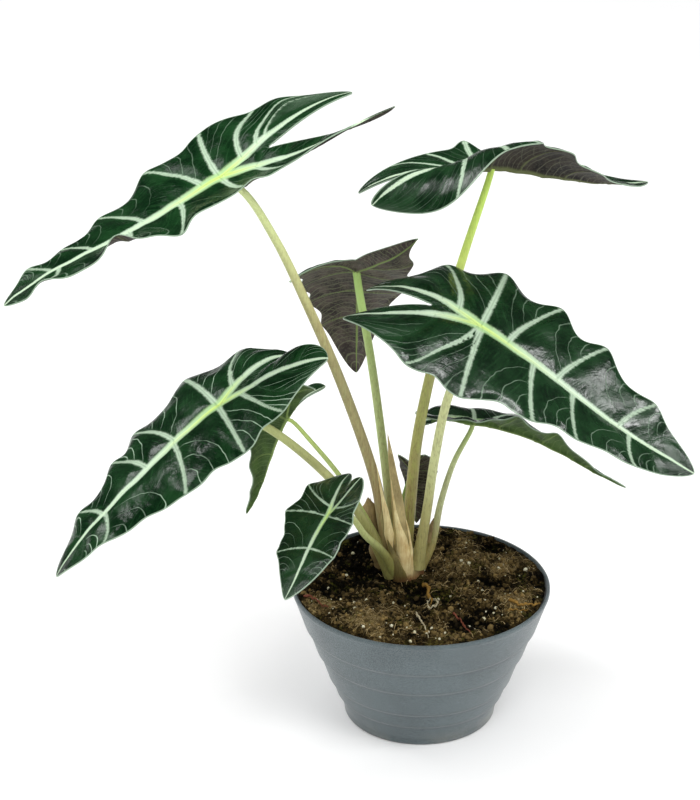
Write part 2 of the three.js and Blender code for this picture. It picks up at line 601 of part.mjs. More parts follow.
// One half of the blade is laid out as strips from the vein line (midrib, or lobe vein) outwards and,
// in the lobe, inwards. Both faces use the same strips, one above and one below the middle surface.
function bladeGeometry(leaf) {
  const surface = bladeFrame(leaf);
  const points = [];
  const known = new Map();
  const triangles = [];
  // A vertex pair, above and below the flat point; found again by its flat place.
  const pair = (x, y, rib) => {
    const key = `${x.toFixed(3)},${(Math.abs(y) < 1e-9 ? 0 : y).toFixed(3)}`;
    if (!known.has(key)) {
      const { point, normal } = surface(x, y);
      points.push(point.clone().addScaledVector(normal, BLADE_WALL / 2));
      points.push(point.clone().addScaledVector(normal, -BLADE_WALL / 2 - rib));
      known.set(key, points.length - 2);
    }
    return known.get(key);
  };
  const edges = new Map();
  const face = (a, b, c) => {
    if (a === b || b === c || c === a) return;
    triangles.push([a, b, c], [a + 1, c + 1, b + 1]);
    for (const [p, q] of [[a, b], [b, c], [c, a]]) {
      if (edges.has(`${q}_${p}`)) edges.delete(`${q}_${p}`);
      else edges.set(`${p}_${q}`, [p, q]);
    }
  };
  const sinusX = -leaf.sinus * leaf.length * leaf.lobe;
  const frontSteps = Math.max(8, Math.round(leaf.length / GRID_STEP));
  const lobeSteps = Math.max(4, Math.round((leaf.length * leaf.lobe) / GRID_STEP));
  for (const side of [0, 1]) {
    const sign = side ? -1 : 1;
    const shape = flatShape(leaf, side);
    const turnUp = (a, b, c) => (side ? face(a, c, b) : face(a, b, c));
    // Stations from the lobe's end to the tip, closer together where the outline turns.
    const xs = [];
    for (let i = 0; i < lobeSteps; i++) {
      xs.push(THREE.MathUtils.lerp(shape.tipX, sinusX, Math.sin(((i / lobeSteps) * Math.PI) / 2) ** 1.4));
    }
    xs.push(sinusX, sinusX / 2);
    for (let i = 0; i <= frontSteps; i++) xs.push(leaf.length * (i / frontSteps));
    const column = (x) => {
      const vein = shape.lobeVein(x);
      const atEnd = x <= shape.tipX + 1e-6 || x >= leaf.length - 1e-6;
      const margin = shape.outer(x);
      const cutSide = x < sinusX - 1e-6 ? shape.inner(x) : 0;
      const row = (shares, edge) => shares.map((share) => {
        const rib = share ? 0 : ribDepth(leaf, x);
        return pair(x, sign * THREE.MathUtils.lerp(vein, atEnd ? vein : edge, share), rib);
      });
      return { outwards: row(OUTWARD_SHARES, margin), inwards: x <= 0 ? row(INWARD_SHARES, cutSide) : null };
    };
    const columns = xs.map(column);
    for (let i = 0; i + 1 < columns.length; i++) {
      const [p, q] = [columns[i], columns[i + 1]];
      for (let k = 0; k + 1 < OUTWARD_SHARES.length; k++) {
        turnUp(p.outwards[k], q.outwards[k], q.outwards[k + 1]);
        turnUp(p.outwards[k], q.outwards[k + 1], p.outwards[k + 1]);
      }
      if (!q.inwards) continue;
      for (let k = 0; k + 1 < INWARD_SHARES.length; k++) {
        turnUp(p.inwards[k], q.inwards[k + 1], q.inwards[k]);
        turnUp(p.inwards[k], p.inwards[k + 1], q.inwards[k + 1]);
      }
    }
  }
  // The rim of the sheet: one strip of wall along every edge that only one triangle uses.
  for (const [p, q] of edges.values()) triangles.push([q, p, p + 1], [q, p + 1, q + 1]);
  return geometryOf(points, triangles);
}

// ---- The plant --------------------------------------------------------------------------------------

const plant = new THREE.Group();
plant.add(piece("pot", potGeometry(), COLOURS.pot, 0.55));
plant.add(piece("soil", soilGeometry(), COLOURS.soil, 0.95));
plant.add(piece("crown", crownGeometry(), COLOURS.crown, 0.7));
for (const [name, leaf] of Object.entries(LEAVES)) {
  plant.add(piece(`petiole_${name}`, petioleGeometry(leaf), COLOURS.petiole, 0.5));
  plant.add(piece(`blade_${name}`, bladeGeometry(leaf), leaf.colour, 0.35));
}

export default plant;
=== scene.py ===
"""A potted foliage plant with arrow-shaped, pale-veined leaves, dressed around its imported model.

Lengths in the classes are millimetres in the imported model's frame: +Z up, the origin at the centre
of the pot's foot, and the picture taken along +Y. Meshes are made in metres. A blade is a function
of two flat coordinates, x along the midrib (0 at the insertion) and y across it (left positive).
"""

from __future__ import annotations

import logging
import math
from dataclasses import dataclass
from enum import Enum
from typing import ClassVar, Sequence

import bpy
import numpy as np
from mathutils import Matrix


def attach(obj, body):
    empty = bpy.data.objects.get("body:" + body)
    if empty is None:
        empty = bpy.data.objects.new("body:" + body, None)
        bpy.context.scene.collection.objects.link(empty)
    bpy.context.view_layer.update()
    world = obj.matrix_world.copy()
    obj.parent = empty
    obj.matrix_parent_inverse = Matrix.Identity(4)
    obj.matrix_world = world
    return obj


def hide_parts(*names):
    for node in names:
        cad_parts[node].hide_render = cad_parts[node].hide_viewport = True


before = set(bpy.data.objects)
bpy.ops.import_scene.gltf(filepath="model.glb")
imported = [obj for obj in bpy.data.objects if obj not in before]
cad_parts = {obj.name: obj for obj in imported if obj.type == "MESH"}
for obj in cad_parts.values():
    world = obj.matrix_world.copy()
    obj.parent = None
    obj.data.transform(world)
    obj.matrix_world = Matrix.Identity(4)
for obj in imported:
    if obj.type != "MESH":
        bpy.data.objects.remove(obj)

LOG = logging.getLogger("plant")
MM = 0.001
BODY = "root"
Array = np.ndarray
Triple = tuple[float, float, float]
Colour = Triple
Pair = tuple[float, float]
Four = tuple[float, float, float, float]
Path = Sequence[Sequence[float]]
Socket = bpy.types.NodeSocket
Material = bpy.types.Material

# Where side veins reach the margin, as shares of a leaf's length: left ones, then right ones.
PLAIN_VEINS = ((0, 0.24, 0.46, 0.72), (0.06, 0.3, 0.53, 0.76))
SHORT_VEINS = ((-0.2, 0.1, 0.5), (-0.2, 0.1, 0.5))
EVEN = (1, 1, 1, 1, 1, 1)  # how much each of them waves the margin
IN_MM = (1000.0, 1000.0, 1000.0)  # scales a place in metres
CROWN = (-7.5, 17.0)  # where the crown stands on the soil
SPLINE_STEPS = 60
NOISE_CELLS = 64
OCTAVE_WEIGHT = 0.55


# ---- Arrays and curves ----


def smooth(low: float, high: float, x: Array) -> Array:
    """Smoothstep: 0 below low, 1 above high and a cubic ease between."""
    u = np.clip((x - low) / (high - low), 0, 1)
    return u * u * (3 - 2 * u)


def bell(x: Array, middle: float, spread: float) -> Array:
    """A Gaussian bump of height 1 about middle."""
    return np.exp(-(((x - middle) / spread) ** 2))


def through_four(values: Sequence[float], t: Array) -> Array:
    """The cubic through four values at t = -1, 0, 1 and 2.

    Args:
        values: The four values.
        t: Where to read the cubic.

    Returns:
        The cubic's values, by Lagrange's formula.
    """
    a, b, c, d = values
    return (
        -a * t * (t - 1) * (t - 2) / 6
        + b * (t + 1) * (t - 1) * (t - 2) / 2
        - c * (t + 1) * t * (t - 2) / 2
        + d * (t + 1) * t * (t - 1) / 6
    )


def unit(v: Array) -> Array:
    """Vectors scaled to length 1."""
    return v / np.maximum(np.linalg.norm(v, axis=-1, keepdims=True), 1e-12)


def around(count: int) -> Array:
    """Angles at even steps round a circle, in radians."""
    return np.arange(count) / count * 2 * np.pi


def curve_through(points: Path, count: int) -> Array:
    """A smooth curve through points, as a list of evenly spaced points.

    Each stretch is a cubic whose end slopes come from its neighbours, with knots spaced by the
    square root of the distance (a centripetal spline). The ends are extended by reflection.

    Args:
        points: The points that the curve passes.
        count: How many points to return.

    Returns:
        Points at even steps of the curve's length, of shape (count, 3).
    """
    p = np.asarray(points, float)
    p = np.concatenate([[2 * p[0] - p[1]], p, [2 * p[-1] - p[-2]]])
    d = np.sqrt(np.linalg.norm(np.diff(p, axis=0), axis=1))[:, None]
    p0, p1, p2, p3 = p[:-3], p[1:-2], p[2:-1], p[3:]
    d0, d1, d2 = d[:-2], d[1:-1], d[2:]
    m1 = d1 * ((p1 - p0) / d0 - (p2 - p0) / (d0 + d1) + (p2 - p1) / d1)
    m2 = d1 * ((p2 - p1) / d1 - (p3 - p1) / (d1 + d2) + (p3 - p2) / d2)
    t = np.linspace(0, 1, SPLINE_STEPS, endpoint=False)[None, :, None]
    p1, p2, m1, m2 = p1[:, None], p2[:, None], m1[:, None], m2[:, None]
    line = (
        (2 * t**3 - 3 * t**2 + 1) * p1
        + (t**3 - 2 * t**2 + t) * m1
        + (3 * t**2 - 2 * t**3) * p2
        + (t**3 - t**2) * m2
    ).reshape(-1, 3)
    line = np.concatenate([line, p2[-1]])
    length = np.concatenate([[0], np.cumsum(np.linalg.norm(np.diff(line, axis=0), axis=1))])
    at = np.linspace(0, length[-1], count)
    return np.stack([np.interp(at, length, line[:, k]) for k in range(3)], axis=-1)


def lattice_noise(x: Array, y: Array, size: float, octaves: int, seed: int) -> Array:
    """Smooth random heights about 0: random values on a square lattice, eased between, in octaves.

    Args:
        x: First coordinates.
        y: Second coordinates.
        size: The lattice's spacing in the first octave; each next one is half of it.
        octaves: How many sizes are added up, each at OCTAVE_WEIGHT of the one before.
        seed: Makes the draw repeatable.

    Returns:
        Heights of about -1 to 1.
    """
    cells = NOISE_CELLS
    table = np.random.default_rng(seed).uniform(-1, 1, (cells, cells))
    total = np.zeros_like(x, float)
    weight = 1.0
    for octave in range(octaves):
        # Each octave starts elsewhere on the lattice, so that they don't line up.
        u, v = x / size + 17.3 * octave, y / size + 9.1 * octave
        i, j = np.floor(u).astype(int), np.floor(v).astype(int)
        fu, fv = smooth(0, 1, u - i), smooth(0, 1, v - j)
        i, j, right, above = i % cells, j % cells, (i + 1) % cells, (j + 1) % cells
        low = table[i, j] * (1 - fu) + table[right, j] * fu
        high = table[i, above] * (1 - fu) + table[right, above] * fu
        total += weight * (low * (1 - fv) + high * fv)
        weight *= OCTAVE_WEIGHT
        size /= 2
    return total


# ---- Meshes ----


@dataclass
class Surface:
    """A mesh in the making: points in mm, faces, and values held at the points."""

    points: Array
    faces: Array
    values: dict[str, Array]


def join_all(parts: Sequence[Surface]) -> Surface:
    """Surfaces that hold the same values as one mesh."""
    starts = np.cumsum([0] + [len(part.points) for part in parts[:-1]])
    return Surface(
        np.concatenate([part.points for part in parts]),
        np.concatenate([part.faces + start for part, start in zip(parts, starts)]),
        {name: np.concatenate([part.values[name] for part in parts]) for name in parts[0].values},
    )


def grid_faces(rows: int, columns: int, closed: bool) -> Array:
    """The quads of a grid of points, row by row.

    Args:
        rows: Number of rows.
        columns: Points in a row.
        closed: Whether each row runs on to its own start.

    Returns:
        Point numbers of shape (faces, 4). They turn left when the rows rise and columns run left.
    """
    starts = columns if closed else columns - 1
    i, j = np.meshgrid(np.arange(rows - 1), np.arange(starts), indexing="ij")
    after = (j + 1) % columns
    low, high = i * columns, (i + 1) * columns
    return np.stack([low + j, low + after, high + after, high + j], -1).reshape(-1, 4)


def without_repeats(quads: Array) -> Array:
    """Quads as triangles, without those that have lost their area to a repeated point."""
    triangles = np.concatenate([quads[:, [0, 1, 2]], quads[:, [0, 2, 3]]])
    a, b, c = triangles.T
    return triangles[(a != b) & (b != c) & (c != a)]


def turned_faces(rows: int, columns: int) -> Array:
    """The triangles of rings whose first and last ring lie on the axis, as one point each."""
    last = (rows - 1) * columns
    merge = np.arange(rows * columns)
    merge[:columns] = 0
    merge[last:] = last
    return without_repeats(merge[grid_faces(rows, columns, True)])


def capped_faces(rows: int, columns: int) -> Array:
    """The triangles of rings that are drawn shut to two points, which follow the rings' own."""
    k = np.arange(columns)
    after = (k + 1) % columns
    first, top = np.full(columns, rows * columns), (rows - 1) * columns
    return np.concatenate([
        without_repeats(grid_faces(rows, columns, True)),
        np.stack([first, after, k], -1),
        np.stack([first + 1, top + k, top + after], -1),
    ])


def tube(
    path: Array, radius: Array, sides: int, flatten: float = 1.0, ends: Pair = (0, 1)
) -> Surface:
    """A closed round tube: a circle carried along a path, square to it, with its ends drawn shut.

    Args:
        path: The path's points, in mm.
        radius: The circle's radius at each of them.
        sides: Points round the circle.
        flatten: Radius towards the viewer as a share of the radius across.
        ends: The "along" value at the path's start and end.

    Returns:
        The tube, with "along" rising from the first value to the second.
    """
    tangent = unit(np.gradient(path, axis=0))
    side = unit(np.cross(tangent, [0.0, 1.0, 0.05]))
    front = np.cross(side, tangent)
    turn = around(sides)
    rings = (
        path[:, None]
        + radius[:, None, None] * (side[:, None] * np.cos(turn)[None, :, None])
        + flatten * radius[:, None, None] * (front[:, None] * np.sin(turn)[None, :, None])
    )
    along = np.concatenate([np.repeat(np.linspace(*ends, len(path)), sides), ends])
    points = np.concatenate([rings.reshape(-1, 3), path[[0, -1]]])
    return Surface(points, capped_faces(len(path), sides), {"along": along})


def lathe(profile: Array, sides: int) -> Surface:
    """A profile turned about Z.

    Args:
        profile: Its (radius, height) points, which start and end on the axis.
        sides: Points round the axis.

    Returns:
        The turned surface, with each point's height in the profile held as "along".
    """
    turn = around(sides)
    r, z = profile[:, 0][:, None], profile[:, 1][:, None]
    rings = np.stack([r * np.cos(turn), r * np.sin(turn), z + 0 * turn], -1).reshape(-1, 3)
    held = {"along": np.repeat(profile[:, 1], sides)}
    return Surface(rings, turned_faces(len(profile), sides), held)


def scattered(
    shape: Surface, places: Array, turns: Array, sizes: Array, tones: Array
) -> Surface:
    """Copies of a small shape, each turned, scaled and put in its place.

    Args:
        shape: The shape about its own origin, about 1 mm across.
        places: Where each copy goes, of shape (n, 3).
        turns: A 3 by 3 turning matrix for each.
        sizes: Its scale along each of its own axes, of shape (n, 3).
        tones: A number for its colour, held at its points as "tone".

    Returns:
        All the copies as one mesh.
    """
    local = shape.points[None] * sizes[:, None]
    points = np.einsum("nij,nvj->nvi", turns, local) + places[:, None]
    count = len(shape.points)
    faces = shape.faces[None] + np.arange(len(places))[:, None, None] * count
    held = {"tone": np.repeat(tones, count)}
    return Surface(points.reshape(-1, 3), faces.reshape(-1, shape.faces.shape[1]), held)


def random_turns(rng: np.random.Generator, count: int) -> Array:
    """Random turning matrices, from the QR factors of random matrices."""
    q, r = np.linalg.qr(rng.normal(size=(count, 3, 3)))
    q = q * np.sign(np.diagonal(r, axis1=1, axis2=2))[:, None]
    return q * np.sign(np.linalg.det(q))[:, None, None]


def piece(
    name: str,
    surface: Surface,
    materials: Sequence[Material],
    nodes: Sequence[str],
    kinds: Array | None = None,
    sharp: float = 50,
) -> bpy.types.Object:
    """A surface as a finished object that rides on the plant's body.

    Args:
        name: The object's name.
        surface: Its points in mm, faces and values.
        materials: Its materials, in the order that kinds counts them.
        nodes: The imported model's nodes that it stands for.
        kinds: Which material each face has; the first one if left out.
        sharp: Edges that turn by more than this angle, in degrees, are shown as edges.

    Returns:
        The object, at the origin, in metres.
    """
    mesh = bpy.data.meshes.new(name)
    faces = surface.faces.astype(np.int32)
    mesh.vertices.add(len(surface.points))
    mesh.vertices.foreach_set("co", (surface.points * MM).astype(np.float32).ravel())
    mesh.loops.add(faces.size)
    mesh.loops.foreach_set("vertex_index", faces.ravel())
    mesh.polygons.add(len(faces))
    mesh.polygons.foreach_set("loop_start", np.arange(len(faces), dtype=np.int32) * faces.shape[1])
    mesh.update(calc_edges=True)
    for key, values in surface.values.items():
        kind, part = ("FLOAT_VECTOR", "vector") if values.ndim > 1 else ("FLOAT", "value")
        attribute = mesh.attributes.new(key, kind, "POINT")
        attribute.data.foreach_set(part, values.astype(np.float32).ravel())
    for material in materials:
        mesh.materials.append(material)
    if kinds is not None:
        mesh.polygons.foreach_set("material_index", kinds.astype(np.int32))
    mesh.polygons.foreach_set("use_smooth", np.ones(len(faces), bool))
    mesh.set_sharp_from_angle(angle=math.radians(sharp))
    mesh.update()
    made = bpy.data.objects.new(name, mesh)
    bpy.context.scene.collection.objects.link(made)
    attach(made, BODY)
    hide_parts(*nodes)
    LOG.info("%s: %d points, %d faces", name, len(mesh.vertices), len(mesh.polygons))
    return made


# ---- Node trees ----


def linear(red: int, green: int, blue: int) -> Colour:
    """A colour given as 0 to 255 on a screen, as linear light."""
    shares = [c / 255 for c in (red, green, blue)]
    r, g, b = [s / 12.92 if s <= 0.04045 else ((s + 0.055) / 1.055) ** 2.4 for s in shares]
    return r, g, b


class Tree:
    """Short calls that add nodes to one node tree and join them."""

    def __init__(self, tree: bpy.types.NodeTree) -> None:
        """Keeps the tree that the calls work on."""
        self.tree = tree

    def add(
        self, kind: str, inputs: dict[int | str, object] | None = None, **settings: object
    ) -> bpy.types.Node:
        """A new node.

        Args:
            kind: Its type, without the "ShaderNode" in front.
            inputs: Values or sockets for its inputs, by name or number.
            settings: Its other properties.

        Returns:
            The node.
        """
        node = self.tree.nodes.new("ShaderNode" + kind)
        for key, value in settings.items():
            setattr(node, key, value)
        for key, value in (inputs or {}).items():
            self.feed(node.inputs[key], value)
        return node

    def feed(self, target: Socket, value: object) -> None:
        """Joins a socket to an input, or sets the input's own value."""
        if isinstance(value, bpy.types.NodeSocket):
            self.tree.links.new(value, target)
        elif isinstance(value, tuple) and len(value) == 3 and target.type == "RGBA":
            target.default_value = (*value, 1)
        else:
            target.default_value = value

    def math(self, operation: str, *values: object, clamp: bool = False) -> Socket:
        """A sum, product or other function of numbers."""
        node = self.add("Math", dict(enumerate(values)), operation=operation, use_clamp=clamp)
        return node.outputs[0]

    def times(self, first: object, second: object) -> Socket:
        """The product of two numbers."""
        return self.math("MULTIPLY", first, second)

    def plus(self, first: object, second: object) -> Socket:
        """The sum of two numbers."""
        return self.math("ADD", first, second)

    def less(self, first: object, second: object) -> Socket:
        """The first number less the second."""
        return self.math("SUBTRACT", first, second)

    def scaled_plus(self, value: object, factor: object, added: object) -> Socket:
        """A number times a factor, plus another one."""
        return self.math("MULTIPLY_ADD", value, factor, added)

    def ease(
        self, value: Socket, low: object, high: object, start: float = 0.0, end: float = 1.0
    ) -> Socket:
        """A smooth step from start, where value is low, to end, where it is high."""
        inputs = {0: value, 1: low, 2: high, 3: start, 4: end}
        return self.add("MapRange", inputs, interpolation_type="SMOOTHSTEP").outputs[0]

    def mix(self, share: object, first: object, second: object) -> Socket:
        """A colour between two colours."""
        return self.add("Mix", {0: share, 6: first, 7: second}, data_type="RGBA").outputs[2]

    def over(self, colour: object, laid: object, mask: Socket, strength: object) -> Socket:
        """A colour laid over another one where a mask is, at most by its strength."""
        return self.mix(self.times(mask, strength), colour, laid)

    def noise(
        self, place: Socket, scale: float, detail: float = 2.0, roughness: float = 0.5
    ) -> Socket:
        """A cloudy value of about 0.25 to 0.75 over the surface."""
        inputs = {"Vector": place, "Scale": scale, "Detail": detail, "Roughness": roughness}
        return self.add("TexNoise", inputs).outputs[0]

    def stretched(self, place: Socket, scale: Triple) -> Socket:
        """A place with its axes scaled."""
        return self.add("Mapping", {"Vector": place, "Scale": scale}).outputs[0]

    def place(self) -> Socket:
        """The place on the object in metres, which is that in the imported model's frame."""
        return self.add("TexCoord").outputs["Object"]

    def held_vector(self, name: str) -> Socket:
        """Three numbers held at the mesh's points."""
        return self.add("Attribute", attribute_name=name).outputs["Vector"]

    def held_number(self, name: str) -> Socket:
        """One number held at the mesh's points."""
        return self.add("Attribute", attribute_name=name).outputs["Fac"]

    def split(self, vector: Socket) -> tuple[Socket, Socket, Socket]:
        """A vector's three numbers."""
        out = self.add("SeparateXYZ", {0: vector}).outputs
        return out[0], out[1], out[2]

    def vector(self, x: object, y: object, z: object) -> Socket:
        """Three numbers as a vector."""
        return self.add("CombineXYZ", {0: x, 1: y, 2: z}).outputs[0]


def new_group(
    name: str, inputs: dict[str, str], outputs: dict[str, str]
) -> tuple[Tree, dict[str, Socket], bpy.types.Node]:
    """An empty node group.

    Args:
        name: Its name.
        inputs: The inputs' names, with "Float" or "Vector" or "Color" for each.
        outputs: The outputs' names, likewise.

    Returns:
        The calls that fill it, its input values by name, and its output node.
    """
    group = bpy.data.node_groups.new(name, "ShaderNodeTree")
    for way, sockets in (("INPUT", inputs), ("OUTPUT", outputs)):
        for key, kind in sockets.items():
            group.interface.new_socket(name=key, in_out=way, socket_type="NodeSocket" + kind)
    entry = group.nodes.new("NodeGroupInput")
    leave = group.nodes.new("NodeGroupOutput")
    return Tree(group), {key: entry.outputs[key] for key in inputs}, leave


def vein_group() -> bpy.types.NodeTree:
    """The leaf's veins as masks, from the values that a blade's mesh holds.

    A side vein lies wherever the phase is a whole number, and the phase's distance from it, times
    the spacing, is the distance in mm. Its edge is feathered by noise in strokes square to the
    vein. A fine vein leaves each side vein towards the leaf's base and arcs to a set phase at the
    margin.
    """
    masks = ("Main", "Core", "Side", "Fine", "Margin", "Near", "Groove", "Stria")
    t, given, leave = new_group(
        "leaf_veins",
        {"Veins": "Vector", "Main": "Vector", "Flat": "Vector", "Broad": "Float",
         "Side width": "Float", "Feather": "Float", "Fine width": "Float"},
        dict.fromkeys(masks, "Float"),
    )
    phase, share, spacing = t.split(given["Veins"])
    reach, margin, along = t.split(given["Main"])
    x, y, seed = t.split(given["Flat"])
    nearest = t.math("ROUND", phase)
    distance = t.times(t.math("ABSOLUTE", t.less(phase, nearest)), spacing)

    # Strokes: the noise's cells are short along the vein and long across it.
    side_place = t.vector(t.times(y, 3.2), t.times(distance, 0.45), t.plus(nearest, seed))
    side_stroke = t.times(t.less(t.noise(side_place, 1.0), 0.5), given["Feather"])
    main_place = t.vector(t.times(x, 3.0), t.times(reach, 0.7), seed)
    main_stroke = t.less(t.noise(main_place, 1.0), 0.5)

    # The side veins narrow towards the margin and towards the tip, and end just inside the margin.
    taper = t.times(t.scaled_plus(share, -0.42, 1.0), t.scaled_plus(along, -0.35, 1.0))
    half = t.scaled_plus(given["Side width"], taper, side_stroke)
    side = t.less(1.0, t.ease(t.less(distance, half), -0.8, 0.4))
    side = t.times(side, t.less(1.0, t.ease(share, 0.97, 1.0)))
    side = t.times(side, given["Broad"])
    main_width = t.scaled_plus(along, -0.6, 1.5)
    main_edge = t.math("DIVIDE", t.scaled_plus(main_stroke, -0.9, reach), main_width)
    main = t.less(1.0, t.ease(main_edge, 0.65, 1.25))
    core = t.less(1.0, t.ease(reach, 0.2, 0.75))

    # Fine veins: each starts at a share of the way to the margin, and ends there at a level.
    slow_place = t.stretched(given["Flat"], (0.2, 0.2, 1.0))
    wander = t.scaled_plus(t.noise(slow_place, 1.0, 1.0), 0.1, -0.05)
    part = t.plus(t.math("FRACT", phase), wander)
    lines = []
    for start, level in ((0.18, 0.26), (0.42, 0.5), (0.6, 0.74)):
        run = t.math("DIVIDE", t.less(share, start), 1 - start, clamp=True)
        bend = t.math("POWER", t.less(1.0, run), 2.4)
        away = t.less(part, t.scaled_plus(bend, 1 - level, level))
        away = t.times(t.math("ABSOLUTE", away), spacing)
        width = given["Fine width"]
        line = t.less(1.0, t.ease(away, t.times(width, 0.4), width))
        lines.append(t.times(line, t.ease(share, start, start + 0.12)))
    fine = t.math("MAXIMUM", t.math("MAXIMUM", lines[0], lines[1]), lines[2])

    side_near = t.plus(given["Side width"], 2.0), t.times(given["Side width"], 0.7)
    stria_place = t.vector(t.times(t.times(phase, spacing), 1.3), t.times(y, 0.1), seed)
    results = (
        main,
        core,
        side,
        fine,
        t.ease(margin, 0.5, 0.15),
        t.math("MAXIMUM", t.ease(reach, 2.4, 0.9), t.ease(distance, *side_near)),
        t.math("MAXIMUM", t.ease(distance, 0.4, 0.1), t.ease(reach, 0.16, 0.03)),
        t.noise(stria_place, 1.0, 3.0, 0.6),
    )
    for key, value in zip(masks, results):
        t.feed(leave.inputs[key], value)
    return t.tree


def fleck_group() -> bpy.types.NodeTree:
    """Small flecks over a surface: cloudy noise cut at a level, at a given size."""
    t, given, leave = new_group(
        "flecks",
        {"Place": "Vector", "Size": "Float", "Level": "Float"},
        {"Flecks": "Float", "Cloud": "Float"},
    )
    size = t.math("DIVIDE", 1.0, given["Size"])
    scaled = t.add("VectorMath", {0: given["Place"], "Scale": size}, operation="SCALE").outputs[0]
    spots = t.noise(scaled, 1.0, 3.0, 0.6)
    t.feed(leave.inputs["Flecks"], t.ease(spots, given["Level"], t.plus(given["Level"], 0.07)))
    t.feed(leave.inputs["Cloud"], t.noise(scaled, 0.13))
    return t.tree


class Groups:
    """The node groups that more than one material uses."""

    def __init__(self) -> None:
        """Builds each group once."""
        self._veins = vein_group()
        self._flecks = fleck_group()

    def _use(
        self, t: Tree, group: bpy.types.NodeTree, inputs: dict[str, object]
    ) -> bpy.types.NodeOutputs:
        """Places a group in a material's tree, feeds its inputs and gives its outputs."""
        node = t.tree.nodes.new("ShaderNodeGroup")
        node.node_tree = group
        for key, value in inputs.items():
            t.feed(node.inputs[key], value)
        return node.outputs

    def flecks(
        self, t: Tree, place: Socket, size: float, level: float
    ) -> bpy.types.NodeOutputs:
        """Flecks of a size in mm where the noise passes a level, and a slow cloud."""
        return self._use(t, self._flecks, {"Place": place, "Size": size, "Level": level})

    def veins(self, t: Tree, side_width: float, feather: float) -> bpy.types.NodeOutputs:
        """The masks of a blade's veins. The widths are in mm on a leaf 100 mm long."""
        held = {key: t.held_vector(key.lower()) for key in ("Veins", "Main", "Flat")}
        widths = {"Side width": side_width, "Feather": feather, "Fine width": 0.3}
        return self._use(t, self._veins, {**held, "Broad": t.held_number("broad"), **widths})


class Finish:
    """A new material, with the calls that fill its tree and set its surface shader."""

    def __init__(self, name: str) -> None:
        """Makes the material with a plain surface shader."""
        self.material = bpy.data.materials.new(name)
        self.material.use_nodes = True
        self.tree = Tree(self.material.node_tree)
        self.shader = self.material.node_tree.nodes["Principled BSDF"]

    def set(self, constants: dict[str, object]) -> None:
        """Sets constants on the shader's own sockets."""
        for key, value in constants.items():
            self.shader.inputs[key].default_value = value

    def surface(self, colour: Socket, roughness: object, height: Socket, depth: float) -> Material:
        """Feeds the shader.

        Args:
            colour: The base colour.
            roughness: A socket or a constant.
            height: Relief, in shares of depth.
            depth: Its depth in mm.

        Returns:
            The finished material.
        """
        bump = self.tree.add("Bump", {"Height": height, "Strength": 1.0, "Distance": depth * MM})
        self.tree.feed(self.shader.inputs["Base Color"], colour)
        self.tree.feed(self.shader.inputs["Roughness"], roughness)
        self.tree.feed(self.shader.inputs["Normal"], bump.outputs[0])
        return self.material


# ---- Finishes ----


class Look:
    """What every finish is: a set of colours and measures that makes one material."""

    def build(self, groups: Groups) -> Material:
        """Makes the material.

        Args:
            groups: The shared node groups.

        Returns:
            The finished material.
        """
        raise NotImplementedError


class Underside(Enum):
    """The backs of the blades: the ground's two colours, the net's and the ribs'."""

    PURPLE = (linear(44, 36, 36), linear(82, 72, 68), linear(120, 124, 96), linear(128, 150, 84))
    BROWN = (linear(20, 16, 14), linear(50, 44, 37), linear(96, 96, 80), linear(104, 112, 70))
    OLIVE = (linear(48, 72, 30), linear(72, 100, 46), linear(92, 116, 66), linear(128, 152, 84))


@dataclass(frozen=True)
class BladeTop(Look):
    """The glossy upper face: dark green with pale, feathered veins and a net of fine ones."""

    name: str
    net: float = 0.5
    shine: float = 0.36
    bold: float = 1.0
    dark: Colour = linear(2, 30, 9)
    mid: Colour = linear(14, 54, 21)
    halo: Colour = linear(50, 96, 54)
    side_vein: Colour = linear(188, 212, 184)
    edge_vein: Colour = linear(166, 204, 142)
    root_vein: Colour = linear(206, 234, 126)
    tip_vein: Colour = linear(210, 232, 198)
    fine_vein: Colour = linear(160, 186, 160)
    margin: Colour = linear(160, 182, 158)

    def build(self, groups: Groups) -> Material:
        """The material, from the blade's held values."""
        made = Finish("blade_top_" + self.name)
        t = made.tree
        flat = t.held_vector("flat")
        veins = groups.veins(t, side_width=1.5 * self.bold, feather=1.9)
        flecks = groups.flecks(t, flat, size=1.6, level=0.5)
        along = t.split(t.held_vector("main"))[2]

        ground = t.mix(t.ease(flecks["Cloud"], 0.35, 0.7), self.dark, self.mid)
        ground = t.over(ground, self.halo, flecks["Flecks"], 0.06)
        # Painted sheen: lighter streaks along the side veins, as the striated surface catches the light.
        ground = t.mix(t.ease(veins["Stria"], 0.5, 0.75, 0.0, 0.3), ground, self.halo)
        ground = t.over(ground, self.halo, veins["Near"], 0.12)
        net = t.ease(flecks["Cloud"], 0.3, 0.6, 0.3 * self.net, self.net)
        colour = t.over(ground, self.fine_vein, veins["Fine"], net)
        colour = t.over(colour, self.margin, veins["Margin"], 0.75)
        colour = t.over(colour, self.side_vein, veins["Side"], 0.9)
        edge = t.mix(t.ease(along, 0.0, 0.45), self.edge_vein, self.side_vein)
        spine = t.mix(t.ease(along, 0.0, 0.4), self.root_vein, self.tip_vein)
        colour = t.over(colour, edge, veins["Main"], 0.92)
        colour = t.over(colour, spine, veins["Core"], 0.9)
        colour = t.over(colour, self.halo, veins["Groove"], 0.22)

        # The pale veins are less glossy than the green between them, and sunk a little.
        pale = t.math("MAXIMUM", veins["Main"], veins["Side"])
        gloss = t.ease(flecks["Cloud"], 0.3, 0.7, 0.19, 0.3)
        made.set({"Specular IOR Level": self.shine})
        height = t.scaled_plus(veins["Stria"], 0.3, t.noise(flat, 0.28))
        height = t.less(height, t.times(veins["Groove"], 0.5))
        height = t.scaled_plus(t.math("MAXIMUM", pale, veins["Fine"]), -0.25, height)
        return made.surface(colour, t.scaled_plus(pale, 0.16, gloss), height, 0.3)


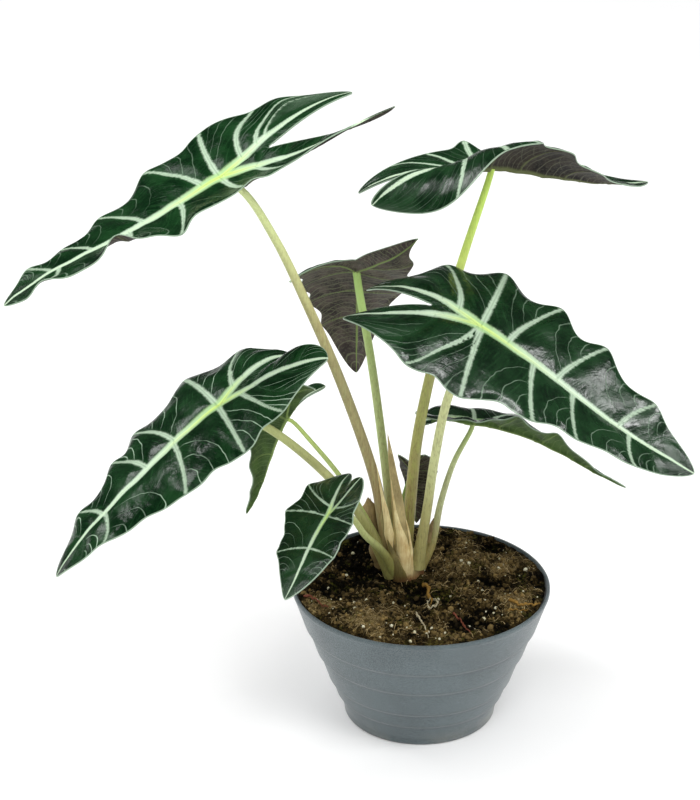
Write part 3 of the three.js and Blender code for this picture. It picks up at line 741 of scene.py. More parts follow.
@dataclass(frozen=True)
class BladeBack(Look):
    """The lower face: purple-brown or olive, with green ribs and a close net of fine veins."""

    kind: Underside

    def build(self, groups: Groups) -> Material:
        """The material, from the blade's held values."""
        deep, light, net, rib = self.kind.value
        made = Finish("blade_back_" + self.kind.name.lower())
        t = made.tree
        flat = t.held_vector("flat")
        veins = groups.veins(t, side_width=1.0, feather=2.2)
        flecks = groups.flecks(t, flat, size=0.9, level=0.5)

        # The net: six fine lines from one side vein to the next, which wander a little.
        phase = t.split(t.held_vector("veins"))[0]
        wander = t.times(t.noise(flat, 0.07), 2.2)
        lines = t.math("FRACT", t.plus(t.times(phase, 6.0), wander))
        line = t.ease(t.math("ABSOLUTE", t.less(lines, 0.5)), 0.1, 0.03)
        ground = t.mix(t.ease(flecks["Cloud"], 0.35, 0.65), deep, light)
        ground = t.over(ground, net, flecks["Flecks"], 0.25)
        colour = t.over(ground, net, line, 0.7)
        colour = t.over(colour, net, veins["Fine"], 0.7)
        colour = t.over(colour, rib, veins["Side"], 0.6)
        colour = t.over(colour, rib, veins["Core"], 0.95)

        made.set({"Specular IOR Level": 0.15 if self.kind is Underside.BROWN else 0.3})
        relief = t.math("MAXIMUM", t.times(line, 0.5), veins["Side"])
        relief = t.plus(relief, t.times(flecks["Flecks"], 0.2))
        return made.surface(colour, t.ease(flecks["Cloud"], 0.3, 0.7, 0.5, 0.62), relief, 0.16)


@dataclass(frozen=True)
class StalkSkin(Look):
    """A petiole's skin: one colour below, another above, finely mottled along its length."""

    name: str
    foot: Colour
    middle: Colour
    top: Colour
    mottle: Colour = linear(104, 92, 54)
    strength: float = 0.3

    def build(self, groups: Groups) -> Material:
        """The material. The stalk holds "along", 0 at its foot and 1 at the blade."""
        made = Finish("stalk_" + self.name)
        t = made.tree
        place = t.place()
        along = t.held_number("along")
        flecks = groups.flecks(t, t.stretched(place, (1000.0, 1000.0, 230.0)), size=0.7, level=0.52)
        lower = t.mix(t.ease(along, 0.12, 0.45), self.foot, self.middle)
        colour = t.mix(t.ease(along, 0.55, 1.0), lower, self.top)
        mottled = t.times(flecks["Flecks"], self.strength)
        colour = t.over(colour, self.mottle, mottled, t.ease(along, 0.95, 0.45, 0.25, 1.0))
        streak = t.noise(t.stretched(place, (1400.0, 1400.0, 60.0)), 1.0, 3.0, 0.6)
        colour = t.over(colour, self.top, t.ease(streak, 0.4, 0.7), 0.22)
        made.set({"Specular IOR Level": 0.4})
        height = t.plus(streak, t.times(flecks["Flecks"], 0.25))
        return made.surface(colour, t.ease(streak, 0.3, 0.7, 0.36, 0.52), height, 0.22)


@dataclass(frozen=True)
class Papery(Look):
    """A dry or drying sheath: fibres along it, paler edges that are partly a painted highlight, and a
    brown stain at its foot.
    """

    name: str
    pale: Colour
    deep: Colour
    stain: Colour
    stain_height: float = 64.0

    def build(self, groups: Groups) -> Material:
        """The material. The sheath holds "rim", which is 1 along its edges."""
        made = Finish(self.name)
        t = made.tree
        place = t.place()
        fibre = t.noise(t.stretched(place, (2600.0, 2600.0, 120.0)), 1.0, 3.0, 0.6)
        flecks = groups.flecks(t, t.stretched(place, IN_MM), size=1.1, level=0.54)
        soft = t.ease(flecks["Cloud"], 0.3, 0.7, 0.0, 0.6)
        soft = t.scaled_plus(t.ease(fibre, 0.3, 0.7), 0.4, soft)
        colour = t.mix(soft, self.deep, self.pale)
        colour = t.over(colour, self.deep, flecks["Flecks"], 0.18)
        # Paler edges: partly the sheath's own thin edge, partly a painted highlight.
        colour = t.over(colour, self.pale, t.held_number("rim"), 0.8)
        uneven = t.times(flecks["Cloud"], 6.0)
        level = t.scaled_plus(t.split(place)[2], 1000.0, uneven)
        stained = t.ease(level, self.stain_height + 7.0, self.stain_height)
        colour = t.over(colour, self.stain, stained, 0.85)
        made.set({"Specular IOR Level": 0.45})
        height = t.plus(fibre, t.times(flecks["Flecks"], 0.3))
        return made.surface(colour, t.ease(fibre, 0.3, 0.7, 0.4, 0.65), height, 0.25)


@dataclass(frozen=True)
class Peat(Look):
    """The soil's surface: painted shade near black in the hollows, brown and tan where fibres lie, green
    in spots.
    """

    hollow_shade: Colour = linear(5, 4, 0)
    brown: Colour = linear(64, 51, 24)
    tan: Colour = linear(204, 178, 122)
    green: Colour = linear(88, 88, 34)

    def build(self, groups: Groups) -> Material:
        """The material. The mesh holds "tone", 0 in the hollows, where shade is painted near black, and 1
        on fibrous lumps.
        """
        made = Finish("soil_peat")
        t = made.tree
        place = t.stretched(t.place(), IN_MM)
        coarse = t.noise(place, 0.75, 5.0, 0.75)
        grains = groups.flecks(t, place, size=0.8, level=0.52)
        level = t.plus(t.held_number("tone"), t.scaled_plus(coarse, 2.4, -1.24))
        # Painted shade: near black where the level is low, in the hollows.
        colour = t.mix(t.ease(level, 0.1, 0.6), self.hollow_shade, self.brown)
        spotted = t.scaled_plus(grains["Flecks"], 0.7, 0.3)
        colour = t.over(colour, self.tan, t.ease(level, 0.55, 1.0), spotted)
        mossy = t.times(t.ease(t.noise(place, 0.09), 0.52, 0.62), t.ease(coarse, 0.45, 0.6))
        colour = t.over(colour, self.green, mossy, 0.7)
        made.set({"Specular IOR Level": 0.08})
        height = t.plus(coarse, t.times(grains["Flecks"], 0.4))
        return made.surface(colour, t.ease(coarse, 0.3, 0.7, 0.8, 0.95), height, 1.4)


@dataclass(frozen=True)
class Crumb(Look):
    """Loose bits of the soil: each has a tone of its own between two colours."""

    name: str
    low: Colour
    high: Colour
    roughness: float = 0.85

    def build(self, groups: Groups) -> Material:
        """The material, from the bits' held "tone"."""
        made = Finish(self.name)
        t = made.tree
        grains = groups.flecks(t, t.stretched(t.place(), IN_MM), size=0.4, level=0.5)
        colour = t.mix(t.held_number("tone"), self.low, self.high)
        colour = t.over(colour, self.low, grains["Flecks"], 0.45)
        made.set({"Specular IOR Level": 0.12})
        return made.surface(colour, self.roughness, grains["Flecks"], 0.15)


@dataclass(frozen=True)
class PotPlastic(Look):
    """Thin moulded blue-grey plastic: satin with a faint sheen, fine grain, scuffs, painted shade in the
    creases under the steps and dust near the foot."""

    body: Colour = linear(81, 94, 97)
    deep: Colour = linear(72, 84, 87)
    step_shade: Colour = linear(60, 71, 74)
    scuff: Colour = linear(148, 160, 165)
    dust: Colour = linear(130, 128, 116)

    def build(self, groups: Groups) -> Material:
        """The material, over Object coordinates in mm. The mesh holds "step", 1 on each step, where shade
        is painted.
        """
        made = Finish("pot_plastic")
        t = made.tree
        place = t.stretched(t.place(), IN_MM)
        grain = groups.flecks(t, place, size=0.55, level=0.48)
        scratches = t.noise(t.stretched(place, (0.15, 0.15, 1.8)), 1.0, 4.0, 0.6)
        cloud = t.noise(place, 0.035, 3.0)
        colour = t.mix(t.ease(cloud, 0.35, 0.65), self.deep, self.body)
        colour = t.over(colour, self.scuff, grain["Flecks"], 0.16)
        colour = t.over(colour, self.scuff, t.ease(scratches, 0.62, 0.7), 0.3)
        # Painted shade: darker in the creases under the steps.
        colour = t.over(colour, self.step_shade, t.held_number("step"), 0.6)
        dusty = t.times(t.ease(t.split(place)[2], 9.0, 0.0), t.ease(cloud, 0.4, 0.6))
        colour = t.over(colour, self.dust, dusty, 0.4)
        made.set({"Specular IOR Level": 0.45, "Sheen Weight": 0.35, "Sheen Roughness": 0.4})
        height = t.plus(grain["Flecks"], t.times(scratches, 0.6))
        return made.surface(colour, t.ease(scratches, 0.3, 0.7, 0.42, 0.58), height, 0.05)


# ---- Leaves ----


@dataclass(frozen=True)
class Leaf:
    """One leaf: the shape of its blade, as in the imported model, and the course of its petiole.

    Values with four entries hold at the lobe ends, the insertion, half way to the tip and the tip.
    Pairs are (left, right), seen from the insertion towards the tip. Angles are degrees.
    """

    name: str
    at: Triple
    heading: float
    length: float
    width: Pair
    pitch: Four
    roll: Four
    fold_left: Four
    fold_right: Four
    stalk: Path
    radii: Pair
    sheath: float
    lobe: float = 0.5
    turn: Four = (0, 0, 0, 0)
    curl: Pair = (0, 0)
    splay: Pair = (20, 20)
    reach: Pair = (1, 1)
    sinus: float = 0.45
    lift: Pair = (0, 0)
    twist: Pair = (0, 0)
    wave: Pair = (2, 2)
    scallop: float = 0.08
    crest: tuple[Sequence[float], Sequence[float]] = (EVEN, EVEN)
    blunt: float = 0.6
    join: float = 0.0
    veins: tuple[Sequence[float], Sequence[float]] = PLAIN_VEINS
    # The broad side veins that show, where they aren't the ones that wave the margin.
    drawn: tuple[Sequence[float], Sequence[float]] | None = None
    underside: Underside = Underside.PURPLE
    shine: float = 0.36
    net: float = 0.45
    bold: float = 1.0
    from_insertion: tuple[bool, bool] = (False, False)
    # The petiole's colours at its foot, middle and top, each as 0 to 255 on a screen.
    skin: Sequence[tuple[int, int, int]] = ((140, 128, 80), (158, 168, 100), (160, 192, 96))


@dataclass(frozen=True)
class Side:
    """The flat outline of one half of a leaf, side 0 left and side 1 right."""

    leaf: Leaf
    side: int

    # Spreads of the margin's bumps at the veins' ends and of the dips between, in leaf lengths.
    BUMP: ClassVar[float] = 0.055
    DIP: ClassVar[float] = 0.06
    # How far ahead of its start a side vein ends, likewise.
    VEIN_LEAD: ClassVar[float] = 0.13

    @property
    def half(self) -> float:
        """Width of this half at the insertion."""
        return self.leaf.width[self.side] * self.leaf.length

    @property
    def tip(self) -> Pair:
        """The lobe's end, behind the insertion."""
        size = self.leaf.length * self.leaf.lobe * self.leaf.reach[self.side]
        splay = math.radians(self.leaf.splay[self.side])
        return -size * math.cos(splay), size * math.sin(splay)

    @property
    def sinus_x(self) -> float:
        """Where the cut between the lobes starts."""
        return -self.leaf.sinus * self.leaf.length * self.leaf.lobe

    def outer(self, x: Array) -> Array:
        """The outer margin: a power of the share left to the tip, or, behind the insertion, a
        blunt arc above the chord to the lobe's end.

        Args:
            x: Places along the midrib.

        Returns:
            The half width there.
        """
        leaf = self.leaf
        tip_x, tip_y = self.tip
        u = np.clip(x / leaf.length, 0, 1)
        ahead = self.half * (1 - u) ** 0.7 * (1 + 0.25 * u * (1 - u))
        v = np.clip((x - tip_x) / -tip_x, 0, 1)
        chord = tip_y * (1 - v)
        behind = chord + (self.half - chord) * np.maximum(1 - (1 - v) ** 2.2, 0) ** leaf.blunt
        ends = leaf.veins[self.side]
        share = x / leaf.length
        bulge = sum(bell(share, end, self.BUMP) for end in ends)
        bulge = bulge - sum(bell(share, (a + b) / 2, self.DIP) for a, b in zip(ends[1:], ends[:-1]))
        return np.where(x >= 0, ahead, behind) * (1 + leaf.scallop * bulge)

    def inner(self, x: Array) -> Array:
        """Inner margin of the lobe, from the cut to the lobe's end; 0 ahead of the cut."""
        tip_x, tip_y = self.tip
        v = np.clip((x - self.sinus_x) / (tip_x - self.sinus_x), 0, 1)
        return tip_y * (0.42 * v + 0.58 * (1 - np.sqrt(1 - v * v)))

    def vein(self, x: Array) -> Array:
        """The lobe's own vein behind the insertion, and the midrib ahead of it."""
        tip_x, tip_y = self.tip
        return np.where(x < 0, tip_y * np.clip(x / tip_x, 0, 1) ** 1.15, 0)

    def side_veins(self) -> list[Pair]:
        """The side veins, and two more past either end, which only space the fine veins.

        Returns:
            Each one's start on the vein line and end at the margin, as shares of the length.
        """
        ends = list((self.leaf.drawn or self.leaf.veins)[self.side])
        lobe_end = self.tip[0] / self.leaf.length
        behind = [ends[0] + (lobe_end - ends[0]) * s for s in (1.7, 0.6)]
        ahead = [ends[-1] + (1 - ends[-1]) * s for s in (0.5, 1.7)]
        veins = []
        for end in (*behind, *ends, *ahead):
            if end > 0.03:
                start = max(end - self.VEIN_LEAD * (1 - 0.5 * end), 0.012)
            elif end > -0.1:
                start = 0.006
            elif self.leaf.from_insertion[self.side] and end == ends[0]:
                start = 0.0
            else:
                start = 0.45 * end
            veins.append((start, end))
        return veins


class BladeShape:
    """The bent surface of one leaf: flat x and y to points in space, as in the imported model."""

    SPINE_STEPS = 240
    NORMAL_STEP = 0.4  # mm
    CREST = 0.06  # spread of the margin's waves, in leaf lengths

    def __init__(self, leaf: Leaf) -> None:
        """Works out the midrib's curve: the sum of its directions, both ways from the insertion."""
        self.leaf = leaf
        self.lobe_length = leaf.length * leaf.lobe
        self.sides = (Side(leaf, 0), Side(leaf, 1))
        back = min(self.sides[0].tip[0], self.sides[1].tip[0], -self.lobe_length)
        edges = np.linspace(back, leaf.length, self.SPINE_STEPS + 1)
        step = edges[1] - edges[0]
        along = self.axes(edges[:-1] + step / 2)[0]
        spine = np.concatenate([np.zeros((1, 3)), np.cumsum(along * step, axis=0)])
        start = np.array([np.interp(0, edges, spine[:, k]) for k in range(3)])
        self.edges = edges
        self.spine = spine - start + np.array(leaf.at)

    def station(self, x: Array) -> Array:
        """Where x lies among the stations: -1 at the lobe ends, 0 at the insertion, 2 at the tip."""
        return np.where(x < 0, x / self.lobe_length, 2 * x / self.leaf.length)

    def axes(self, x: Array) -> tuple[Array, Array, Array]:
        """The midrib's direction at x, and the blade's left and up, from slope, turn and roll."""
        t = self.station(x)
        pitch = np.radians(through_four(self.leaf.pitch, t))
        yaw = np.radians(self.leaf.heading + through_four(self.leaf.turn, t))
        roll = np.radians(through_four(self.leaf.roll, t))[:, None]
        along = np.stack([np.cos(pitch) * np.cos(yaw), np.cos(pitch) * np.sin(yaw), np.sin(pitch)], -1)
        level = np.stack([-np.sin(yaw), np.cos(yaw), 0 * yaw], -1)
        above = np.cross(along, level)
        left = level * np.cos(roll) + above * np.sin(roll)
        return along, left, above * np.cos(roll) - level * np.sin(roll)

    def by_side(self, y: Array, left: Array | float, right: Array | float) -> Array:
        """The left value where y is positive or 0, and the right one elsewhere."""
        return np.where(y >= 0, left, right)

    def crests(self, x: Array, side: int) -> Array:
        """Where the margin stands up: at the end of each side vein, as much as its crest says."""
        ends = zip(self.leaf.veins[side], self.leaf.crest[side])
        share = x / self.leaf.length
        return sum(crest * bell(share, end, self.CREST) for end, crest in ends) - 0.5

    def place(self, x: Array, y: Array, raised: Array | float = 0.0) -> Array:
        """Points in space of flat points: fold, curl and wave each half, lift and twist the lobes.

        Args:
            x: Along the midrib.
            y: Across it, left positive.
            raised: Height of relief above the surface.

        Returns:
            The points, of shape (n, 3).
        """
        leaf = self.leaf
        out = np.abs(y)
        t = self.station(x)
        widest = max(side.half for side in self.sides)
        stations = self.by_side(y, through_four(leaf.fold_left, t), through_four(leaf.fold_right, t))
        fold = np.radians(stations + self.by_side(y, *leaf.curl) * out / widest)
        across, rise = y * np.cos(fold), out * np.sin(fold)
        outer = self.by_side(y, *(side.outer(x) for side in self.sides))
        share = np.clip(out / np.maximum(outer, 1e-6), 0, 1)
        ahead = x / leaf.length
        fade = smooth(-leaf.lobe, -0.1, ahead) * (1 - smooth(0.85, 1.02, ahead))
        wave = self.by_side(y, leaf.wave[0] * self.crests(x, 0), leaf.wave[1] * self.crests(x, 1))
        rise = rise + wave * leaf.length / 100 * share**2 * fade
        back = np.maximum(-x / self.lobe_length, 0)
        blend = np.tanh(y / (0.05 * leaf.length))
        rise = rise + (leaf.lift[0] * (1 + blend) + leaf.lift[1] * (1 - blend)) / 2 * back**2
        turning = smooth(0.15, 1, back / self.by_side(y, *leaf.reach))
        twist = np.radians(self.by_side(y, *leaf.twist)) * turning
        from_vein = out - self.by_side(y, *(side.vein(x) for side in self.sides))
        rise = rise + np.where(x < 0, np.sin(twist) * from_vein, 0)
        across = across + np.where(x < 0, np.sign(y) * (np.cos(twist) - 1) * from_vein, 0)
        _, left, up = self.axes(x)
        base = np.stack([np.interp(x, self.edges, self.spine[:, k]) for k in range(3)], -1)
        return base + left * across[:, None] + up * (rise + raised)[:, None]

    def normal(self, x: Array, y: Array) -> Array:
        """The upper side's unit normal, from small steps along x and y."""
        step = self.NORMAL_STEP
        forward = self.place(x + step, y) - self.place(x - step, y)
        leftward = self.place(x, y + step) - self.place(x, y - step)
        return unit(np.cross(forward, leftward))


class Blade:
    """One leaf blade as a closed sheet with its veins held as values at its points."""

    GRID = 1.05  # mm between grid lines, about
    WALL = 0.5
    TRIM = 0.994  # the blade's share of its drawn size, so that its swelling stays within that
    OUTWARD = 30  # cells from the vein line to the outer margin
    INWARD = 9  # and to the lobe's inner margin
    # In mm on a leaf 100 mm long:
    PUFF = 0.85  # how far the blade swells between its veins
    UNEVEN = 0.35  # how far it wanders besides
    SIDE_RIB = 0.3  # how far the side veins stand out below

    def __init__(self, leaf: Leaf) -> None:
        """Keeps the leaf and its surface."""
        self.leaf = leaf
        self.shape = BladeShape(leaf)

    def columns(self, side: Side) -> Array:
        """Places along the midrib, closer together where the outline turns.

        Args:
            side: The half of the leaf.

        Returns:
            Values of x from the lobe's end to the tip.
        """
        size = self.leaf.length
        lobe_count = int(size * self.leaf.lobe / self.GRID)
        turn = np.sin(np.arange(lobe_count) / lobe_count * np.pi / 2) ** 1.4
        lobe = side.tip[0] + (side.sinus_x - side.tip[0]) * turn
        cut = side.sinus_x * (1 - np.arange(16) / 16)
        u = np.linspace(0, 1, int(size / self.GRID) + 1)
        return np.concatenate([lobe, cut, size * (1 - (1 - u) ** 1.12)])

    def phase(self, side: Side, x: Array, share: Array, width: Array) -> tuple[Array, Array]:
        """Which side veins a point lies between, and how far apart they are there.

        Side vein k runs through x = start + (end - start) * share^1.7, and the phase rises evenly
        from k to k + 1 between two of them. The spacing is measured square to the veins.

        Args:
            side: The half of the leaf.
            x: Places along the midrib.
            share: Shares of the way from the vein line to the margin.
            width: That way's length in mm.

        Returns:
            The phase, and the spacing in mm.
        """
        veins = np.array(side.side_veins()) * self.leaf.length
        bent = share[:, None] ** 1.7
        knots = veins[:, 0] + (veins[:, 1] - veins[:, 0]) * bent
        gaps = np.maximum(np.diff(knots, axis=1), 0.3)
        parts = np.clip((x[:, None] - knots[:, :-1]) / gaps, 0, 1)
        # Past the first and the last vein the phase goes on, so that no vein fills the rest.
        before = np.minimum((x - knots[:, 0]) / gaps[:, 0], 0)
        after = np.maximum((x - knots[:, -1]) / gaps[:, -1], 0)
        phase = parts.sum(axis=1) + before + after
        within = (parts > 0) & (parts < 1)
        gap = np.where(within.any(axis=1), (gaps * within).sum(axis=1), gaps[:, 0])
        lean = (veins[:, 1] - veins[:, 0]).mean() * 1.7 * share**0.7
        square = width / np.hypot(width, lean)
        return phase, gap * np.maximum(square, 0.3)

    def columns_to_grid(self, x: Array, cells: int) -> tuple[Array, Array, Array]:
        """A grid of columns: each point's x, share of the way across and column number."""
        at, share = np.meshgrid(x, np.linspace(0, 1, cells + 1), indexing="ij")
        return at.ravel(), share.ravel(), np.repeat(np.arange(len(x)), cells + 1)

    def half(self, side: Side) -> tuple[dict[str, Array], Array]:
        """One half of the leaf, laid flat, in two grids that share the vein line.

        Returns:
            Values at the points by name, x and y among them, and the faces.
        """
        x = self.columns(side)
        vein, outer = side.vein(x), side.outer(x)
        ends = (np.arange(len(x)) == 0) | (np.arange(len(x)) == len(x) - 1)
        outer = np.where(ends, vein, outer)
        inner = np.where(ends, vein, side.inner(x))
        slope, lean = np.gradient(outer, x), np.gradient(vein, x)
        out_x, out_share, rows = self.columns_to_grid(x, self.OUTWARD)
        out = vein[rows] + (outer - vein)[rows] * out_share
        width = np.maximum(outer - vein, 0.5)[rows]
        phase, spacing = self.phase(side, out_x, out_share, width)
        # The first two and the last two of the side veins only space the fine ones.
        last = len(side.side_veins()) - 2.5
        outward = {
            "x": out_x,
            "y": out,
            "share": out_share,
            "phase": phase,
            "broad": np.clip(np.minimum(phase - 1.5, last - phase) * 8 + 0.5, 0, 1),
            "spacing": spacing,
            "margin": (outer[rows] - out) / np.hypot(1, slope[rows]),
            "reach": (out - vein[rows]) / np.hypot(1, lean[rows]),
        }

        # The lobe's inner side, from its vein to the cut or, ahead of the cut, to the middle line.
        # Its phases are far from the outer side's, so that no vein runs from one to the other.
        count = int((x <= 1e-9).sum())
        in_x, in_share, rows = self.columns_to_grid(x[:count], self.INWARD)
        out = vein[rows] + (inner - vein)[rows] * in_share
        from_cut = np.hypot(in_x - side.sinus_x, out)
        inward = {
            "x": in_x,
            "y": out,
            "share": in_share,
            "phase": in_x / (0.11 * self.leaf.length) + 40.2 + 0.5 * in_share,
            "broad": 0 * in_x,
            "spacing": np.full(len(in_x), 0.19 * self.leaf.length),
            "margin": np.where(in_x >= side.sinus_x, from_cut, (out - inner[rows]) * 0.8),
            "reach": (vein[rows] - out) / np.hypot(1, lean[rows]),
        }
        flat = {key: np.concatenate([outward[key], inward[key]]) for key in outward}
        flat["y"] = (-1 if side.side else 1) * flat["y"]
        flat["reach"] = np.abs(flat["reach"])
        inner_faces = grid_faces(count, self.INWARD + 1, False)[:, [0, 3, 2, 1]]
        faces = np.concatenate([
            grid_faces(len(x), self.OUTWARD + 1, False), inner_faces + len(out_x)
        ])
        return flat, (faces if side.side else faces[:, ::-1])

    def surface(self) -> tuple[Surface, Array]:
        """Joins the two flat halves and bends them.

        Returns:
            The closed sheet, and the kind of each face: 0 above and at the rim, 1 below.
        """
        (left, left_faces), (right, right_faces) = [self.half(side) for side in self.shape.sides]
        flat = {key: np.concatenate([left[key], right[key]]) for key in left}
        quads = np.concatenate([left_faces, right_faces + len(left["x"])])
        # Points that fall together, on the midrib, the lobe veins and the ends, become one.
        place = np.round(np.stack([flat["x"], flat["y"] + 0.0], -1) * 1000).astype(np.int64)
        _, first, same = np.unique(place, axis=0, return_index=True, return_inverse=True)
        flat = {key: values[first] for key, values in flat.items()}
        upper = without_repeats(same.reshape(-1)[quads])
        return self._closed(flat, upper)

    def _closed(self, flat: dict[str, Array], upper: Array) -> tuple[Surface, Array]:
        """Gives the flat points their height, and the upper triangles a lower face and a rim."""
        leaf = self.leaf
        x, y = flat["x"] * self.TRIM, flat["y"] * self.TRIM
        size = leaf.length / 100
        lobe_end = -leaf.lobe * leaf.length
        along = np.clip(np.where(x < 0, x / lobe_end, x / leaf.length), 0, 1)
        main_half = leaf.bold * size * (1.75 * (1 - along) ** 0.6 + 0.15)
        main_half = main_half * np.where(x < 0, 0.95, 1.0)
        side_distance = np.abs(flat["phase"] - np.round(flat["phase"])) * flat["spacing"]
        near = np.minimum(flat["reach"], side_distance)
        inside = smooth(0, 3, flat["margin"])
        puff = self.PUFF * size * (1 - bell(near, 0, 4.0 * size)) * inside
        uneven = lattice_noise(x + 50 * leaf.heading, y, 9 * size, 2, 5)
        puff = puff + self.UNEVEN * size * uneven * inside
        middle = self.shape.place(x, y, puff)
        normal = self.shape.normal(x, y)
        rib = (0.5 + leaf.length / 90) * (1 - along) ** 0.8 * bell(flat["reach"], 0, 1.5 * size)
        rib = rib + self.SIDE_RIB * size * bell(side_distance, 0, 0.8) * smooth(0, 4, flat["margin"])
        top = middle + normal * self.WALL / 2
        bottom = middle - normal * (self.WALL / 2 + rib)[:, None]
        count = len(x)
        edges = np.concatenate([upper[:, [0, 1]], upper[:, [1, 2]], upper[:, [2, 0]]])
        key = edges[:, 0].astype(np.int64) * count + edges[:, 1]
        mirrored = edges[:, 1].astype(np.int64) * count + edges[:, 0]
        rim = edges[~np.isin(key, mirrored)]
        a, b = rim[:, 0], rim[:, 1]
        walls = np.concatenate([
            np.stack([b, a, a + count], -1), np.stack([b, a + count, b + count], -1)
        ])
        faces = np.concatenate([upper, upper[:, ::-1] + count, walls])
        kinds = np.concatenate([np.zeros(len(upper)), np.ones(len(upper)), np.zeros(len(walls))])
        values = {
            "veins": np.stack([flat["phase"], flat["share"], flat["spacing"] / size], -1),
            "main": np.stack([flat["reach"] / main_half, flat["margin"], along], -1),
            "flat": np.stack([x, y, np.full(count, leaf.heading / 7)], -1),
            "broad": flat["broad"],
        }
        both = {name: np.concatenate([v, v]) for name, v in values.items()}
        return Surface(np.concatenate([top, bottom]), faces, both), kinds

    def build(self, groups: Groups, back: Material) -> None:
        """The blade as a piece that stands for its node.

        Args:
            groups: The shared node groups.
            back: Its lower face's material.
        """
        surface, kinds = self.surface()
        leaf = self.leaf
        top = BladeTop(leaf.name, leaf.net, leaf.shine, leaf.bold).build(groups)
        nodes = ["blade_" + leaf.name]
        piece("leaf_blade_" + leaf.name, surface, [top, back], nodes, kinds, 60)


class Petiole:
    """One leaf stalk, a tapered tube from the crown to the underside of its blade."""

    SIDES = 22
    STEP = 2.5  # mm between rings
    FLARE = 1.7  # how much wider its foot is, in mm
    FLARE_HEIGHT = 11  # over what height that fades
    FLATTEN = 0.94

    def __init__(self, leaf: Leaf) -> None:
        """Works out the stalk's path, from inside the crown to the blade."""
        self.leaf = leaf
        shape = BladeShape(leaf)
        x, y = np.array([leaf.join]), np.zeros(1)
        end = shape.place(x, y)[0] - shape.normal(x, y)[0] * 0.3
        points = np.concatenate([np.array(leaf.stalk, float), [end]])
        rough = curve_through(points, 200)
        size = np.linalg.norm(np.diff(rough, axis=0), axis=1).sum()
        self.path = curve_through(points, int(size / self.STEP))
        self.along = np.linspace(0, 1, len(self.path))
        above = self.path[:, 2] - leaf.stalk[0][2]
        thin = leaf.radii[0] + (leaf.radii[1] - leaf.radii[0]) * self.along**2
        self.radius = thin + self.FLARE * np.exp(-above / self.FLARE_HEIGHT)

    def stretch(self, low: int, high: int) -> Surface:
        """The tube between two of the path's points."""
        span = slice(low, high)
        ends = (float(self.along[low]), float(self.along[high - 1]))
        return tube(self.path[span], self.radius[span], self.SIDES, self.FLATTEN, ends)

    def split(self) -> int:
        """The path's point where the crown stops clasping the stalk."""
        return int(np.argmax(self.path[:, 2] > self.leaf.sheath))

    def build(self, groups: Groups) -> None:
        """The stalk above the crown, and its clasped foot, which goes with the crown.

        Args:
            groups: The shared node groups.
        """
        leaf = self.leaf
        skin = StalkSkin(leaf.name, *(linear(*colour) for colour in leaf.skin)).build(groups)
        cut = self.split()
        upper, nodes = self.stretch(cut, len(self.path)), ["petiole_" + leaf.name]
        piece("leaf_stalk_" + leaf.name, upper, [skin], nodes)
        piece("leaf_foot_" + leaf.name, self.stretch(0, cut + 1), [skin], ["crown"])


